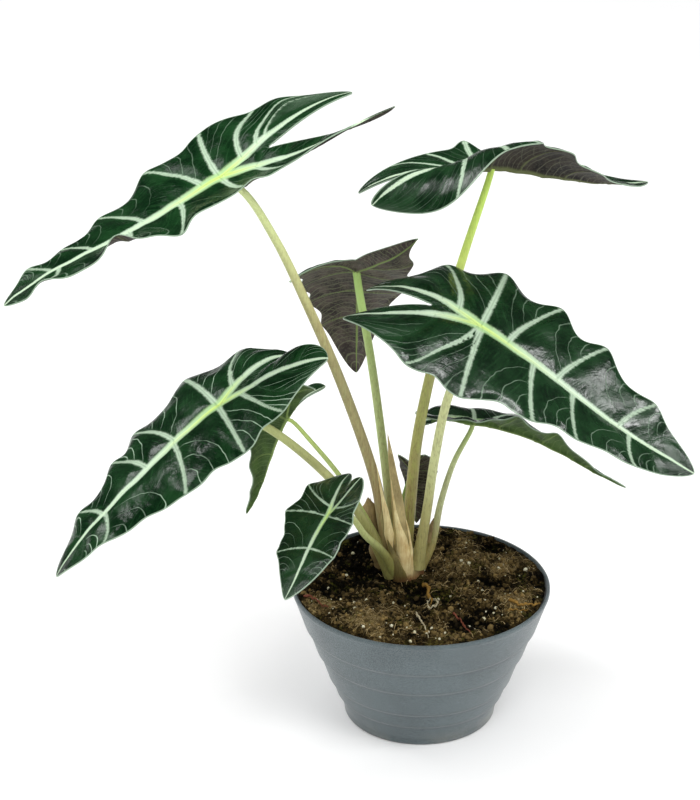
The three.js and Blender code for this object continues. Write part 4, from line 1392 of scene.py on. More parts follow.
LEAVES = (
    Leaf(
        "upper_left", at=(-87.7, -16.5, 270.2), heading=195, length=109.5, lobe=0.55, width=(0.25, 0.3),
        pitch=(20, -23.5, -17, -46.5), turn=(-1, 10, 15, -9), roll=(-15, -9.7, 28.6, -6.5),
        fold_left=(8, -6.5, -30, -35), fold_right=(9, 9.7, 30, 11), curl=(30, -5),
        splay=(28, 15), reach=(1.16, 1.01), sinus=0.4, lift=(14, 14), twist=(3, -23),
        wave=(2.6, 1.3), scallop=0.1, blunt=0.58,
        crest=((-0.5, 0.9, -2.1, 2.3, 1.8), (0.3, -2, 1, 0.5, -0.2, 1.6)),
        veins=((-0.29, -0.05, 0.31, 0.53, 0.82), (-0.35, -0.11, 0.2, 0.46, 0.68, 0.85)),
        stalk=((-14, 14, 66), (-17.8, 13.5, 92), (-21.4, 12.5, 113), (-37.5, 6.5, 166), (-53, -1, 208),
               (-65, -8, 238), (-78.2, -15.2, 262.7)),
        drawn=((-0.29, -0.05, 0.31, 0.53, 0.82), (-0.52, -0.42, -0.25, -0.05, 0.2, 0.46, 0.68, 0.85)),
        radii=(2.6, 1.5), sheath=104, underside=Underside.BROWN, shine=0.2,
        skin=((156, 134, 90), (170, 160, 108), (216, 230, 160)), net=0.3,
    ),
    Leaf(
        "upper_right", at=(28.3, 40, 255.2), join=3, heading=28, length=91, lobe=0.56, width=(0.25, 0.34),
        pitch=(50, -9.5, -15.5, -7), turn=(-7, 5, -4, 8), roll=(-24, -19, 3.6, 28),
        fold_left=(15, 11.5, 0, -23), fold_right=(-25.7, 46, 51.5, 28), curl=(23, -30),
        splay=(8.5, 8), reach=(1.08, 1.08), sinus=0.46, lift=(13.5, 14), twist=(-7, -50),
        wave=(1.9, 0.8), scallop=0.13, veins=((0.04, 0.25, 0.45, 0.66), (0.06, 0.31, 0.57, 0.79)),
        stalk=((-7.5, 19, 67), (-5.1, 21, 93), (-1.8, 26, 127), (5.7, 32, 165), (18, 36.8, 212),
               (28.9, 40, 247.7)),
        drawn=((-0.42, -0.2, 0.04, 0.25, 0.45, 0.66), (-0.36, -0.1, 0.06, 0.31, 0.57, 0.79)),
        radii=(2.7, 1.45), sheath=98, underside=Underside.BROWN, bold=1.5, shine=0.6,
        skin=((164, 150, 92), (176, 176, 106), (206, 240, 108)), net=0.15,
    ),
    Leaf(
        "back", at=(-30, 54, 200.3), heading=92, length=66, lobe=0.54, width=(0.42, 0.4),
        pitch=(-30, -52, -69, -95), turn=(0, -5, 0, 4), roll=(10, 14, 0, -15),
        fold_left=(-3, -9, 14, 5), fold_right=(5, -3, 14, 15), curl=(-21, 12),
        splay=(50, 46), reach=(1.1, 1.07), sinus=0.31, lift=(-12, 12), twist=(9, 0),
        wave=(1.2, 1.4), veins=((-0.2, 0.1, 0.35, 0.6), (-0.2, 0.1, 0.35, 0.6)),
        stalk=((-12, 20.5, 66), (-14.6, 27, 95.5), (-18, 33, 124), (-23.2, 42.5, 160.5), (-28.8, 51, 192)),
        radii=(2.1, 1.8), sheath=92,
        skin=((164, 156, 106), (174, 186, 124), (186, 222, 130)),
    ),
    Leaf(
        "right", at=(23.8, -12, 199.9), heading=-16, length=115.5, width=(0.35, 0.36),
        pitch=(38, -27, -34, -23), turn=(2, 3, 1, -6), roll=(2, 21, 23, 44),
        fold_left=(13, 0, 15, 10), fold_right=(19, 10, 21, 0), curl=(-9, -12),
        splay=(18, 19), reach=(1.02, 1.04), sinus=0.4, lift=(0, 2), twist=(-19, 6), wave=(2.5, 2),
        veins=((-0.22, 0, 0.24, 0.46, 0.74), (-0.22, 0.07, 0.36, 0.54, 0.79)),
        stalk=((-1.5, 14, 67), (2.8, 12, 98), (5.8, 9, 125), (11, 3, 158), (21.6, -10, 194)),
        radii=(2.2, 1.8), sheath=88, from_insertion=(False, True), net=0.35, shine=1.0,
        skin=((176, 168, 106), (212, 218, 156), (216, 226, 160)),
    ),
    Leaf(
        "left", at=(-89.6, -34, 172), heading=196, length=105, lobe=0.47, width=(0.33, 0.33),
        pitch=(11, -32, -39, -63), turn=(-13, 5, 9, -2), roll=(7, 5, 0, -4),
        fold_left=(0, 2, -1, 7), fold_right=(4, 24, 11, 10), curl=(-17, -20),
        splay=(26, 27), reach=(1.09, 0.92), sinus=0.55, lift=(16, -2), twist=(-21, 14), wave=(2.7, 2.5),
        veins=((-0.22, 0.05, 0.36, 0.74), (-0.2, 0.05, 0.35, 0.5, 0.75)),
        stalk=((-13.5, 10, 65), (-19, 7, 78), (-30.7, -4, 107), (-50.4, -19, 138),
               (-71.5, -31, 161), (-85, -34, 168.5)),
        radii=(2.2, 1.7), sheath=86,
        skin=((140, 136, 76), (170, 172, 112), (186, 198, 128)), net=0.9,
    ),
    Leaf(
        "left_rear", at=(-61.9, 0, 149.8), heading=196, length=50, lobe=0.47, width=(0.36, 0.29),
        pitch=(-34, -58, -73, -53), turn=(0.6, 7.8, -3.6, -6), roll=(17, 46, 30.5, 43),
        fold_left=(9.5, 62.7, 33, 26), fold_right=(23, 28, 43.7, 25.5), curl=(-23, -3),
        splay=(29.5, 8), reach=(0.94, 1.03), sinus=0.35, lift=(-8, -6), twist=(21.5, 12), wave=(1.1, 0),
        stalk=((-14.5, 14, 67), (-21.3, 11.5, 85), (-37, 6, 117), (-51.2, 2.3, 138), (-59.3, 0.7, 148.3)),
        radii=(1.3, 0.9), sheath=89, underside=Underside.OLIVE,
        skin=((146, 140, 84), (180, 198, 120), (184, 208, 116)),
    ),
    Leaf(
        "lower_right", at=(24.9, 40.4, 129.6), heading=-15.5, length=80, lobe=0.47, width=(0.24, 0.22),
        pitch=(8, -6, -15.7, -15), turn=(-2, 11, -15, -2), roll=(-31, -20, 9, -2.5),
        fold_left=(1, 45, -12, -15), fold_right=(-13, 16.5, 66.7, 58), curl=(-28, -4),
        splay=(14.5, 18.5), reach=(0.78, 0.75), sinus=0.53, lift=(-8, 9.5), twist=(35.5, -10),
        wave=(1.15, 2.4), scallop=0.03, crest=((-1.2, 3.2, 3.3, 0.7), (-1, 1.8, 2.1, -0.9)),
        veins=((-0.04, 0.22, 0.49, 0.72), (0.03, 0.27, 0.53, 0.81)),
        stalk=((0, 20, 64), (5.3, 22, 74.2), (9.9, 27, 95), (16, 33.5, 112.5), (24.1, 39.3, 126.6)),
        radii=(1.5, 1.1), sheath=78, underside=Underside.OLIVE, shine=0.6,
        skin=((176, 160, 98), (206, 212, 160), (190, 212, 134)),
    ),
    Leaf(
        "front", at=(-42.5, -45, 123.6), heading=234, length=47, width=(0.42, 0.42),
        pitch=(-34, -34, -25, -39), turn=(-10, -3, 14, -1), roll=(8, 5, 2, -1),
        fold_left=(9, 15, 4, 6), fold_right=(4, 13, 0, 7), curl=(4, -6),
        splay=(22, 22), reach=(0.95, 1.1), sinus=0.63, lift=(3, -4), twist=(-13, -10),
        veins=SHORT_VEINS, shine=0.9,
        stalk=((-12, 9, 66), (-17.5, 3, 80), (-26, -7.5, 94.5), (-33.5, -22, 112), (-41, -39.5, 118.5)),
        radii=(1.5, 1.1), sheath=88, underside=Underside.OLIVE,
        skin=((140, 136, 76), (188, 196, 132), (182, 206, 118)), net=0.7,
    ),
    Leaf(
        "young", at=(-4, 36, 107), heading=75, length=36, lobe=0.45, width=(0.2, 0.33),
        pitch=(-30, -60, -72, -80), roll=(0, 5, 5, 0),
        fold_left=(15, 20, 20, 20), fold_right=(15, 20, 20, 20), splay=(30, 30),
        reach=(0.7, 1), wave=(1, 1), veins=SHORT_VEINS,
        stalk=((-6, 24, 66), (-7.5, 29, 80), (-8, 32, 92), (-5, 33.5, 104)),
        radii=(1.1, 0.8), sheath=76,
        skin=((150, 140, 90), (150, 170, 100), (136, 172, 70)),
    ),
)


# ---- Crown ----


@dataclass(frozen=True)
class Sheath:
    """A papery sheath: an arc of thin wall carried along a path, drawn out to a point at its top."""

    name: str
    path: Path
    radius: float
    wrap: float
    material: str = "tan"
    wall: float = 0.35
    facing: Triple = (0.0, -1.0, 0.0)
    # The arc's width at even steps along the path, as a share of what the plain taper gives.
    swell: Sequence[float] = (1.0, 1.0)
    ruffle: float = 0.05

    ROWS: ClassVar[int] = 70
    ACROSS: ClassVar[int] = 26

    def surface(self) -> Surface:
        """The wall: at share u of the path, the arc's angle falls as (1 - u)^0.35 and its radius
        as (1 - u)^0.55, times the swell there. A sine along the path ruffles its edges.

        Returns:
            The closed wall, with u held as "along", and "rim", which rises to 1 at the edges.
        """
        path = curve_through(self.path, self.ROWS)
        u = np.linspace(0, 1, self.ROWS)
        tangent = unit(np.gradient(path, axis=0))
        side = unit(np.cross(tangent, np.array(self.facing)))
        ahead = np.cross(side, tangent)
        half = np.radians(self.wrap / 2) * (1 - u * 0.995) ** 0.35
        swell = np.interp(u, np.linspace(0, 1, len(self.swell)), self.swell)
        r = self.radius * (1 - u * 0.98) ** 0.55 * swell
        k = np.linspace(-1, 1, self.ACROSS)
        ruffle = self.ruffle * np.sin(u[:, None] * 21 + 3 * k[None]) * np.abs(k[None]) ** 3
        layers = []
        for offset, way in ((0.0, 1), (-self.wall, -1)):
            turn = half[:, None] * k[None] * way
            reach = (np.maximum(r, 0.5)[:, None] + offset) * (1 + ruffle)
            layers.append(
                path[:, None]
                + side[:, None] * (reach * np.sin(turn))[..., None]
                + ahead[:, None] * (reach * np.cos(turn) - 0.4 * r[:, None])[..., None]
            )
        count = 2 * self.ACROSS
        points = np.concatenate([*np.concatenate(layers, axis=1), path[[0, -1]]])
        along = np.concatenate([np.repeat(u, count), [0, 1]])
        rim = np.concatenate([np.tile(np.abs(k) ** 5, 2 * self.ROWS), [0, 0]])
        return Surface(points, capped_faces(self.ROWS, count), {"along": along, "rim": rim})


SHEATHS = (
    Sheath("column", ((-8, 12, 58), (-7.6, 8.8, 70), (-8.6, 8.6, 82), (-11, 9.2, 95),
                      (-13, 11, 108), (-14.4, 14, 120)), 4.6, 190,
           swell=(1.1, 1, 0.9, 0.62, 0.5, 0.5, 0.5)),
    Sheath("middle", ((-8.5, 12, 70), (-9.5, 10.4, 88), (-11.5, 11.5, 106), (-13.6, 14.5, 120),
                      (-15.6, 17.5, 134)), 4.6, 150, "straw"),
    Sheath("sliver", ((-11.5, 12, 108), (-13, 13.8, 118), (-14.4, 15.4, 128)), 1.1, 120),
    Sheath("left_strip", ((-13.6, 9.6, 75), (-14.6, 9.8, 84), (-15.8, 10.2, 94), (-18.4, 9.6, 108),
                          (-20.8, 9.4, 122)), 1.9, 140, swell=(0.3, 1.5, 1.25, 0.8, 0.8)),
    Sheath("flap", ((-9, 8.4, 62), (-11, 6.8, 70), (-13, 7.2, 77), (-15.5, 8.6, 84)), 4.4, 120,
           "olive"),
    Sheath("curl", ((-4.6, 9.6, 60), (-4.2, 8.6, 72), (-5.0, 8.6, 84), (-7, 9.8, 94)), 1.1, 220,
           ruffle=0.15),
    Sheath("old_base", ((-17, 17, 66), (-20.5, 16.5, 78), (-23, 16.2, 90), (-24.6, 16.6, 102)),
           4.6, 250, "brown", swell=(1, 1, 1.3, 3), ruffle=0.35),
    Sheath("old_spike", ((-19.5, 17.4, 74), (-22, 17.2, 84), (-23.5, 18.6, 92), (-23.2, 19.6, 101)),
           1.8, 150, "brown", swell=(1, 1.2, 0.6, 0.5), ruffle=0.3),
    Sheath("right_cap", ((3.2, 18, 78), (4.6, 18.4, 84), (6.2, 19.2, 90)), 2.4, 200, "brown",
           swell=(0.8, 0.8)),
)


@dataclass(frozen=True)
class Crown:
    """The corm at the soil and what stands up from it, apart from the petioles' feet."""

    centre: Pair = CROWN
    profile: Sequence[Pair] = (
        (0, 52), (7, 52.5), (8.6, 56), (9.2, 60), (9.0, 63), (8.2, 67), (6.2, 72), (3.2, 76), (0, 77.5)
    )
    rings: int = 60
    sides: int = 64

    def corm(self) -> Surface:
        """A turned body whose radius swells and shrinks a little with the angle."""
        knots = np.array(self.profile, float)
        at, number = np.linspace(0, len(knots) - 1, self.rings), np.arange(len(knots))
        finer = np.stack([np.interp(at, number, knots[:, k]) for k in range(2)], -1)
        body = lathe(finer, self.sides)
        turn = np.arctan2(body.points[:, 1], body.points[:, 0])
        swell = 1 + 0.05 * np.sin(3 * turn + 0.4) + 0.025 * np.sin(7 * turn + body.points[:, 2] / 3)
        body.points[:, :2] *= swell[:, None]
        body.points[:, :2] += np.array(self.centre)
        return body

    def build(self, groups: Groups) -> None:
        """Builds the corm and the sheaths, among them the remains of an old leaf base.

        Args:
            groups: The shared node groups.
        """
        looks = {
            "tan": (linear(255, 244, 188), linear(206, 172, 106), linear(122, 66, 34)),
            "straw": (linear(204, 185, 128), linear(146, 129, 82), linear(122, 66, 34)),
            "olive": (linear(142, 130, 72), linear(92, 82, 42), linear(96, 58, 32)),
            "brown": (linear(164, 142, 92), linear(84, 68, 38), linear(60, 42, 26)),
        }
        made = {name: Papery("crown_" + name, *look).build(groups) for name, look in looks.items()}
        piece("crown_corm", self.corm(), [made["straw"]], ["crown"])
        for sheath in SHEATHS:
            name, material = "crown_sheath_" + sheath.name, made[sheath.material]
            piece(name, sheath.surface(), [material], ["crown"])


# ---- Soil ----


@dataclass(frozen=True)
class Soil:
    """The peat's uneven top and sides, and the loose bits, fibres and roots that lie on it."""

    top: float = 62.0
    rise: float = 3.8
    edge_radius: float = 57.8
    bottom_radius: float = 34.5
    bottom: float = 6.6
    lump: float = 2.4
    crown: Pair = CROWN
    crown_foot: float = 9.5
    seed: int = 11
    rings: int = 150
    sectors: int = 360
    # How many loose bits are drawn; some are left out by place.
    crumb_draws: int = 2600
    perlite_draws: int = 700
    fibre_draws: int = 3200
    most_fibres: int = 1500
    # Places on the soil as (x, y, spread): hollows that lie deep, with painted shade, and pale fibrous
    # lumps.
    hollows: Sequence[Triple] = (
        (-30.0, 33.0, 13.0), (-27.0, 13.0, 8.0), (-41.0, -4.0, 7.5), (-3.0, -5.0, 5.5),
        (-2.0, -16.0, 5.5), (32.0, 0.0, 3.5), (57.0, -2.0, 5.0), (10.0, -14.0, 5.0),
        (23.0, -37.0, 7.0), (36.0, 36.0, 4.5),
    )
    clumps: Sequence[Triple] = (
        (-23.0, -37.0, 13.0), (-49.0, -20.0, 8.0), (18.0, 18.0, 10.0), (44.0, -20.0, 9.0),
        (37.0, 12.0, 8.0), (22.0, 38.0, 5.0),
    )

    def spread(self, places: Sequence[Triple], x: Array, y: Array) -> Array:
        """The sum of round bumps of height 1 at the places, each as wide as its third value."""
        return sum(np.exp(-(((x - a) ** 2 + (y - b) ** 2) / c**2)) for a, b, c in places)

    def height(self, x: Array, y: Array) -> Array:
        """The top's height: a dish round the crown, lumps in two sizes, hollows and a low edge."""
        edge = 1 - smooth(self.edge_radius - 3, self.edge_radius, np.hypot(x, y))
        away = np.hypot(x - self.crown[0], y - self.crown[1])
        lumps = lattice_noise(x, y, 9.0, 5, self.seed)
        ridges = 1 - 2 * np.abs(lattice_noise(x, y, 3.2, 3, self.seed + 1))
        dents = 3.4 * self.spread(self.hollows, x, y) - 0.9 * self.spread(self.clumps, x, y)
        rough = self.lump * (0.4 * lumps + 0.3 * ridges) - dents
        dish = self.top + self.rise * smooth(10, 31, away)
        return dish - 0.4 * (1 - edge) + rough * (0.35 + 0.65 * edge)

    def tone(self, x: Array, y: Array) -> Array:
        """How pale the surface is, from 0 in the hollows, where it holds painted shade, to 1 on the
        fibrous lumps.
        """
        sunk, raised = self.spread(self.hollows, x, y), self.spread(self.clumps, x, y)
        clouds = lattice_noise(x, y, 7.0, 3, 3)
        return np.clip(0.42 + 0.3 * clouds + 0.5 * raised - 0.8 * sunk, 0, 1)

    def body(self) -> Surface:
        """Rings of points from the middle of the top to its edge, down the side and under."""
        turn = around(self.sectors)
        radius = self.edge_radius * np.linspace(0, 1, self.rings) ** 0.8
        x, y = np.outer(radius, np.cos(turn)), np.outer(radius, np.sin(turn))
        z = self.height(x, y)
        tone = self.tone(x, y)
        shift_x, shift_y = lattice_noise(y, z, 4, 2, 8), lattice_noise(x, z, 4, 2, 9)
        x, y = x * (1 + 0.006 * shift_x), y * (1 + 0.006 * shift_y)
        down = np.linspace(0, 1, 8)[1:]
        low_radius = self.edge_radius + (self.bottom_radius - self.edge_radius) * down
        low_z = (z[-1].mean() - 2) + (self.bottom - z[-1].mean() + 2) * down
        for r, height in [*zip(low_radius, low_z), (0.0, self.bottom)]:
            x = np.concatenate([x, [r * np.cos(turn)]])
            y = np.concatenate([y, [r * np.sin(turn)]])
            z = np.concatenate([z, [np.full(self.sectors, height)]])
            tone = np.concatenate([tone, [np.full(self.sectors, 0.3)]])
        points = np.stack([x, y, z], -1).reshape(-1, 3)
        return Surface(points, turned_faces(len(x), self.sectors), {"tone": tone.reshape(-1)})

    def free_spots(self, rng: np.random.Generator, count: int) -> tuple[Array, Array]:
        """Random places on the top, clear of the crown's foot.

        Args:
            rng: Draws them.
            count: How many.

        Returns:
            Their x and their y.
        """
        turn = rng.uniform(0, 2 * np.pi, count * 2)
        radius = (self.edge_radius - 1.5) * np.sqrt(rng.uniform(0, 1, count * 2))
        x, y = radius * np.cos(turn), radius * np.sin(turn)
        kept = np.hypot(x - self.crown[0], y - self.crown[1]) > self.crown_foot
        return x[kept][:count], y[kept][:count]

    def strewn(
        self, rng: np.random.Generator, x: Array, y: Array, sizes: Array, raised: float, tones: Array
    ) -> Surface:
        """Pebbles on the top, each with its middle raised by a share of its size."""
        places = np.stack([x, y, self.height(x, y) + raised * sizes[:, 2]], -1)
        return scattered(pebble(rng), places, random_turns(rng, len(x)), sizes, tones)

    def crumbs(self) -> Surface:
        """Lumps of peat and bark."""
        rng = np.random.default_rng(self.seed + 20)
        x, y = self.free_spots(rng, self.crumb_draws)
        count = len(x)
        sizes = 0.35 + 1.1 * rng.uniform(0, 1, (count, 1)) ** 3
        sizes = sizes * rng.uniform(0.6, 1.3, (count, 3))
        # The bits take the soil's tone, so those in the hollows are darker by its painted shade.
        tones = np.clip(self.tone(x, y) + rng.normal(0, 0.25, count) - 0.05, 0, 1)
        return self.strewn(rng, x, y, sizes, 0.2, tones)

    def perlite(self) -> Surface:
        """White specks, most of them to the right and in front."""
        rng = np.random.default_rng(self.seed + 30)
        x, y = self.free_spots(rng, self.perlite_draws)
        likely = 0.22 + 0.5 * smooth(-10, 30, x) + 0.35 * smooth(0, -30, y)
        likely = likely * (0.3 + 1.2 * self.tone(x, y))
        kept = rng.uniform(0, 1, len(x)) < 0.4 * likely
        x, y = x[kept], y[kept]
        sizes = 0.28 + 0.75 * rng.uniform(0, 1, (len(x), 1)) ** 2.5
        sizes = sizes * rng.uniform(0.7, 1.2, (len(x), 3))
        return self.strewn(rng, x, y, sizes, 0.45, rng.uniform(0.2, 1, len(x)))

    def fibres(self) -> Surface:
        """Short bent fibres lying on the top: an arc of a thin tube, over the soil's own height."""
        rng = np.random.default_rng(self.seed + 40)
        x, y = self.free_spots(rng, self.fibre_draws)
        kept = rng.uniform(0, 1, len(x)) < 1.2 * self.tone(x, y) ** 1.5
        x, y = x[kept][:self.most_fibres], y[kept][:self.most_fibres]
        s = np.linspace(-0.5, 0.5, 7)
        parts = []
        for a, b in zip(x, y):
            size = rng.uniform(1.2, 5.5)
            heading = rng.uniform(0, 2 * np.pi)
            bend = rng.normal(0, 0.4)
            px = a + size * s * np.cos(heading) - bend * size * s**2 * np.sin(heading)
            py = b + size * s * np.sin(heading) + bend * size * s**2 * np.cos(heading)
            far = np.hypot(px, py)
            shrink = np.minimum(1, (self.edge_radius - 1) / np.maximum(far, 1e-6))
            px, py = px * shrink, py * shrink
            arch = rng.uniform(0, 0.9) * (1 - (2 * s) ** 2)
            path = np.stack([px, py, self.height(px, py) + 0.25 + arch], -1)
            strand = tube(path, rng.uniform(0.04, 0.115) * (1 - 0.5 * np.abs(2 * s) ** 3), 5)
            strand.values = {"tone": np.full(len(strand.points), rng.uniform(0.1, 1) ** 1.6)}
            parts.append(strand)
        return join_all(parts)

    def root(self, path: Path, radius: float) -> Surface:
        """A root that lies on the soil and wanders in width.

        Args:
            path: Its points as x, y and height above the soil's surface.
            radius: Its radius, about.

        Returns:
            The root, thicker at the path's start.
        """
        steps = 60
        line = curve_through(path, steps)
        line[:, 2] += self.height(line[:, 0], line[:, 1])
        wander = lattice_noise(line[:, 0] * 3, line[:, 1] * 3, 4.0, 2, 4)
        grown = tube(line, radius * (1 + 0.35 * wander) * np.linspace(1.1, 0.45, steps), 10)
        grown.values = {"tone": np.full(len(grown.points), 0.7)}
        return grown

    def build(self, groups: Groups) -> None:
        """Builds the soil and all that lies on it.

        Args:
            groups: The shared node groups.
        """
        looks = {
            "crumbs": (linear(14, 10, 2), linear(146, 123, 76)),
            "perlite": (linear(196, 190, 150), linear(248, 244, 216), 0.7),
            "fibre": (linear(62, 46, 20), linear(240, 214, 158)),
            "root": (linear(96, 70, 28), linear(172, 134, 66), 0.6),
            "red_root": (linear(84, 44, 34), linear(150, 88, 66), 0.6),
            "pale_root": (linear(150, 138, 106), linear(214, 204, 172), 0.6),
        }
        peat = Peat().build(groups)
        bits = {name: Crumb("soil_" + name, *look).build(groups) for name, look in looks.items()}
        for name, surface, material in (
            ("body", self.body(), peat),
            ("crumbs", self.crumbs(), bits["crumbs"]),
            ("perlite", self.perlite(), bits["perlite"]),
            ("fibres", self.fibres(), bits["fibre"]),
        ):
            piece("soil_" + name, surface, [material], ["soil"], sharp=180)
        for name, material, radius, path in ROOTS:
            piece("soil_" + name, self.root(path, radius), [bits[material]], ["soil"])


# Name, material, radius, and path as x, y and height above the soil.
ROOTS = (
    ("curled_root", "root", 0.9,
     ((1.5, 1, 1), (3.5, -3, 1.3), (3, -9, 1.1), (4.5, -14, 1), (4, -20, 0.8))),
    ("loop", "pale_root", 0.42,
     ((5.5, -14, 1.8), (7.2, -19, 2.2), (6.2, -25, 1.6), (3.2, -26, 1.4), (2.4, -21, 1.8),
      (4, -15, 2))),
    ("red_root", "red_root", 0.5, ((14, -30, 0.6), (17, -36, 0.9), (19, -43, 0.6), (21, -50, 0.5))),
    ("pale_root", "pale_root", 0.4, ((-3, -30, 0.5), (-1, -37, 0.9), (1, -44, 0.7), (2, -51, 0.4))),
    ("edge_root", "root", 0.7, ((40, -20, 0.8), (45, -24, 1), (50, -23, 0.8), (54, -20, 0.3))),
    ("edge_thread", "root", 0.45, ((38, -26, 0.6), (43, -28, 1), (48, -27, 0.8))),
    ("left_root", "red_root", 0.5, ((-54, -14, 0.8), (-49, -20, 1.2), (-43, -26, 0.8))),
)


def pebble(rng: np.random.Generator) -> Surface:
    """A rough lump about 1 mm in radius: six points on each of two rings and one at each end."""
    turn = around(6)
    lower = np.stack([0.9 * np.cos(turn), 0.9 * np.sin(turn), np.full(6, -0.4)], -1)
    upper = np.stack([0.9 * np.cos(turn + 0.5), 0.9 * np.sin(turn + 0.5), np.full(6, 0.4)], -1)
    points = np.concatenate([[[0, 0, -0.95]], lower, upper, [[0, 0, 0.95]]])
    points = points * rng.uniform(0.78, 1.15, (len(points), 1))
    k = np.arange(6)
    after = (k + 1) % 6
    faces = np.concatenate([
        np.stack([0 * k, 1 + after, 1 + k], -1),
        np.stack([1 + k, 1 + after, 7 + k], -1),
        np.stack([1 + after, 7 + after, 7 + k], -1),
        np.stack([13 + 0 * k, 7 + k, 7 + after], -1),
    ])
    return Surface(points, faces, {})


# ---- Pot ----


@dataclass(frozen=True)
class Pot:
    """The thin nursery pot: a lip, faint steps in its wall, an upright foot and drain holes."""

    height: float = 66.0
    rim_radius: float = 60.0
    foot_radius: float = 35.7
    foot_round: float = 3.0
    wall: float = 1.5
    floor: float = 2.2
    band_height: float = 2.5
    band_proud: float = 0.4
    step_heights: Sequence[float] = (10.0, 18.5, 33.0, 46.0)
    step_depth: float = 1.0
    step_rise: float = 2.0
    drain_holes: int = 6
    drain_radius: float = 3.2
    drain_circle: float = 24.0
    sides: int = 180

    def wall_radius(self, z: float) -> float:
        """Outer radius below the lip at height z: a slope that swells out just above each step."""
        rise = self.height - self.band_height - self.foot_round
        jumps = self.step_depth * len(self.step_heights)
        slope = (self.rim_radius - self.band_proud - self.foot_radius - jumps) / rise
        past = sum(float(smooth(0, self.step_rise, z - step)) for step in self.step_heights)
        return self.foot_radius + slope * (z - self.foot_round) + self.step_depth * past

    def profile(self) -> Array:
        """Outside from the foot's middle up to the lip, and inside down to the floor's middle.

        Returns:
            Points as (radius, height).
        """
        foot, rim, top = self.foot_radius, self.rim_radius, self.height
        under = top - self.band_height
        heights = np.arange(self.foot_round, under, 0.5)
        side = [(self.wall_radius(z), z) for z in heights]
        outer = [(0, 0), (foot - 2, 0), (foot - 0.5, 0.1), (foot - 0.1, 0.6), *side]
        lip = [
            (rim - self.band_proud, under), (rim - 0.15, under + 0.35), (rim, under + 0.9),
            (rim, top - 0.6), (rim - 0.3, top - 0.1), (rim - 0.75, top), (rim - 1.2, top - 0.15),
            (rim - self.wall, top - 0.7),
        ]
        inner = [(r - self.wall, z) for r, z in reversed(side[4:])]
        corner = (self.wall_radius(self.foot_round) - self.wall, self.foot_round + self.floor)
        bottom = [corner, (0, self.floor)]
        return np.array([*outer, *lip, *inner, *bottom], float)

    def drills(self) -> Surface:
        """The tubes that the drain holes are cut with, in a ring round the floor's middle."""
        drills = []
        for i in range(self.drain_holes):
            turn = i / self.drain_holes * 2 * math.pi
            centre = (self.drain_circle * math.cos(turn), self.drain_circle * math.sin(turn))
            axis = np.array([(*centre, -3.0), (*centre, 0.0), (*centre, 6.0 + self.floor)])
            drills.append(tube(axis, np.full(3, self.drain_radius), 24))
        return join_all(drills)

    def build(self, groups: Groups) -> None:
        """Turns the profile and cuts the drain holes.

        Args:
            groups: The shared node groups.
        """
        shell = lathe(self.profile(), self.sides)
        middles = [step + self.step_rise / 2 for step in self.step_heights]
        # Marks the steps, where the plastic's colour holds painted shade.
        shell.values["step"] = sum(bell(shell.values["along"], middle, 1.2) for middle in middles)
        plastic = PotPlastic().build(groups)
        made = piece("pot_shell", shell, [plastic], ["pot"], sharp=42)
        drills = self.drills()
        mesh = bpy.data.meshes.new("drills")
        mesh.from_pydata((drills.points * MM).tolist(), [], drills.faces.tolist())
        cutter = bpy.data.objects.new("drills", mesh)
        bpy.context.scene.collection.objects.link(cutter)
        modifier = made.modifiers.new("drain", "BOOLEAN")
        modifier.operation = "DIFFERENCE"
        modifier.object = cutter
        modifier.solver = "EXACT"
        bpy.context.view_layer.update()
        ready = made.evaluated_get(bpy.context.evaluated_depsgraph_get())
        drained = bpy.data.meshes.new_from_object(ready)
        made.modifiers.clear()
        made.data = drained
        bpy.data.objects.remove(cutter)


# ---- Studio ----


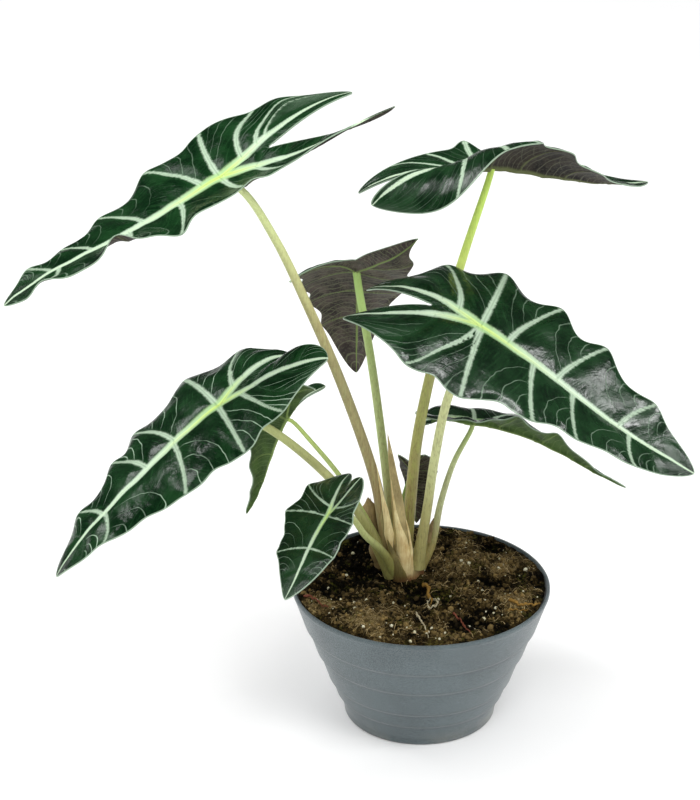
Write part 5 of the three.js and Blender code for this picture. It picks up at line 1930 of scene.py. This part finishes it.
@dataclass(frozen=True)
class Studio:
    """The pale floor, the soft lights and the camera."""

    target: Triple = (-33.0, 0.0, 159.0)
    distance: float = 1100.0
    elevation: float = 24.0
    lens: float = 110.0
    surround: float = 0.84
    gloss: float = 0.06
    floor_tone: float = 0.94
    floor_size: float = 16.0  # m across
    # The lights stand this far, in m, from this height above the origin.
    reach: float = 1.7
    middle: float = 0.16
    # Name, angle round from the camera's side (right positive), height in degrees, size in m, W.
    lights: Sequence[tuple[str, float, float, float, float]] = (
        ("right", 28, 57, 0.62, 11),
        ("side", 68, 46, 0.36, 3.4),
        ("left", -98, 50, 0.6, 10),
        ("front", 0, 62, 1.6, 3.0),
    )

    def camera(self) -> None:
        """Looks along +Y and down by the elevation, at the target."""
        tilt = math.radians(self.elevation)
        away = np.array([0, -math.cos(tilt), math.sin(tilt)]) * self.distance
        data = bpy.data.cameras.new("camera")
        data.lens = self.lens
        data.sensor_width = 36.0
        data.clip_end = 50
        made = bpy.data.objects.new("camera", data)
        made.location = (np.array(self.target) + away) * MM
        made.rotation_euler = (math.pi / 2 - tilt, 0, 0)
        bpy.context.scene.collection.objects.link(made)
        bpy.context.scene.camera = made

    def floor(self) -> None:
        """A wide plain floor under the pot."""
        far, tone = self.floor_size / 2, self.floor_tone
        mesh = bpy.data.meshes.new("floor")
        points = [(-far, -far, 0), (far, -far, 0), (far, far, 0), (-far, far, 0)]
        mesh.from_pydata(points, [], [(0, 1, 2, 3)])
        made = bpy.data.objects.new("floor", mesh)
        made.location = (0, 0, -0.2 * MM)
        white = Finish("floor_white")
        white.set({"Base Color": (tone, tone, tone, 1), "Roughness": 0.9, "Specular IOR Level": 0.1})
        mesh.materials.append(white.material)
        bpy.context.scene.collection.objects.link(made)

    def light(self, name: str, azimuth: float, height: float, size: float, power: float) -> None:
        """A square soft light turned towards the plant, given as in lights."""
        data = bpy.data.lights.new(name, "AREA")
        data.size = size
        data.energy = power
        made = bpy.data.objects.new(name, data)
        turn, rise = math.radians(azimuth), math.radians(height)
        flat, up = self.reach * math.cos(rise), self.middle + self.reach * math.sin(rise)
        made.location = at = (flat * math.sin(turn), -flat * math.cos(turn), up)
        aim = np.array([-0.02, 0, self.middle]) - np.array(at)
        yaw = math.atan2(aim[1], aim[0])
        fall = math.atan2(-aim[2], math.hypot(aim[0], aim[1]))
        made.rotation_euler = (math.pi / 2 - fall, 0, yaw - math.pi / 2)
        bpy.context.scene.collection.objects.link(made)

    def world(self) -> None:
        """White as seen by the camera, softer as a light, and dim in the gloss of the leaves."""
        world = bpy.data.worlds.new("surround")
        world.use_nodes = True
        t = Tree(world.node_tree)
        light, gloss, seen = [
            t.add("Background", {"Color": (1.0, 1.0, 1.0), "Strength": strength}).outputs[0]
            for strength in (self.surround, self.gloss, 1.0)
        ]
        path = t.add("LightPath").outputs
        inner = t.add("MixShader", {0: path["Is Glossy Ray"], 1: light, 2: gloss}).outputs[0]
        outer = t.add("MixShader", {0: path["Is Camera Ray"], 1: inner, 2: seen}).outputs[0]
        t.feed(world.node_tree.nodes["World Output"].inputs["Surface"], outer)
        bpy.context.scene.world = world

    def build(self) -> None:
        """Sets the camera, floor, lights, surround and plain colour output."""
        self.camera()
        self.floor()
        self.world()
        for light in self.lights:
            self.light(*light)
        bpy.context.scene.view_settings.view_transform = "Standard"


def main() -> None:
    """Builds the plant and its studio in order."""
    logging.basicConfig(level=logging.INFO, format="%(name)s: %(message)s")
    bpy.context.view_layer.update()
    Studio().build()
    groups = Groups()
    Pot().build(groups)
    Soil().build(groups)
    Crown().build(groups)
    backs = {kind: BladeBack(kind).build(groups) for kind in Underside}
    for leaf in LEAVES:
        Petiole(leaf).build(groups)
        Blade(leaf).build(groups, backs[leaf.underside])
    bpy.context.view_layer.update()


if __name__ == "__main__":
    main()
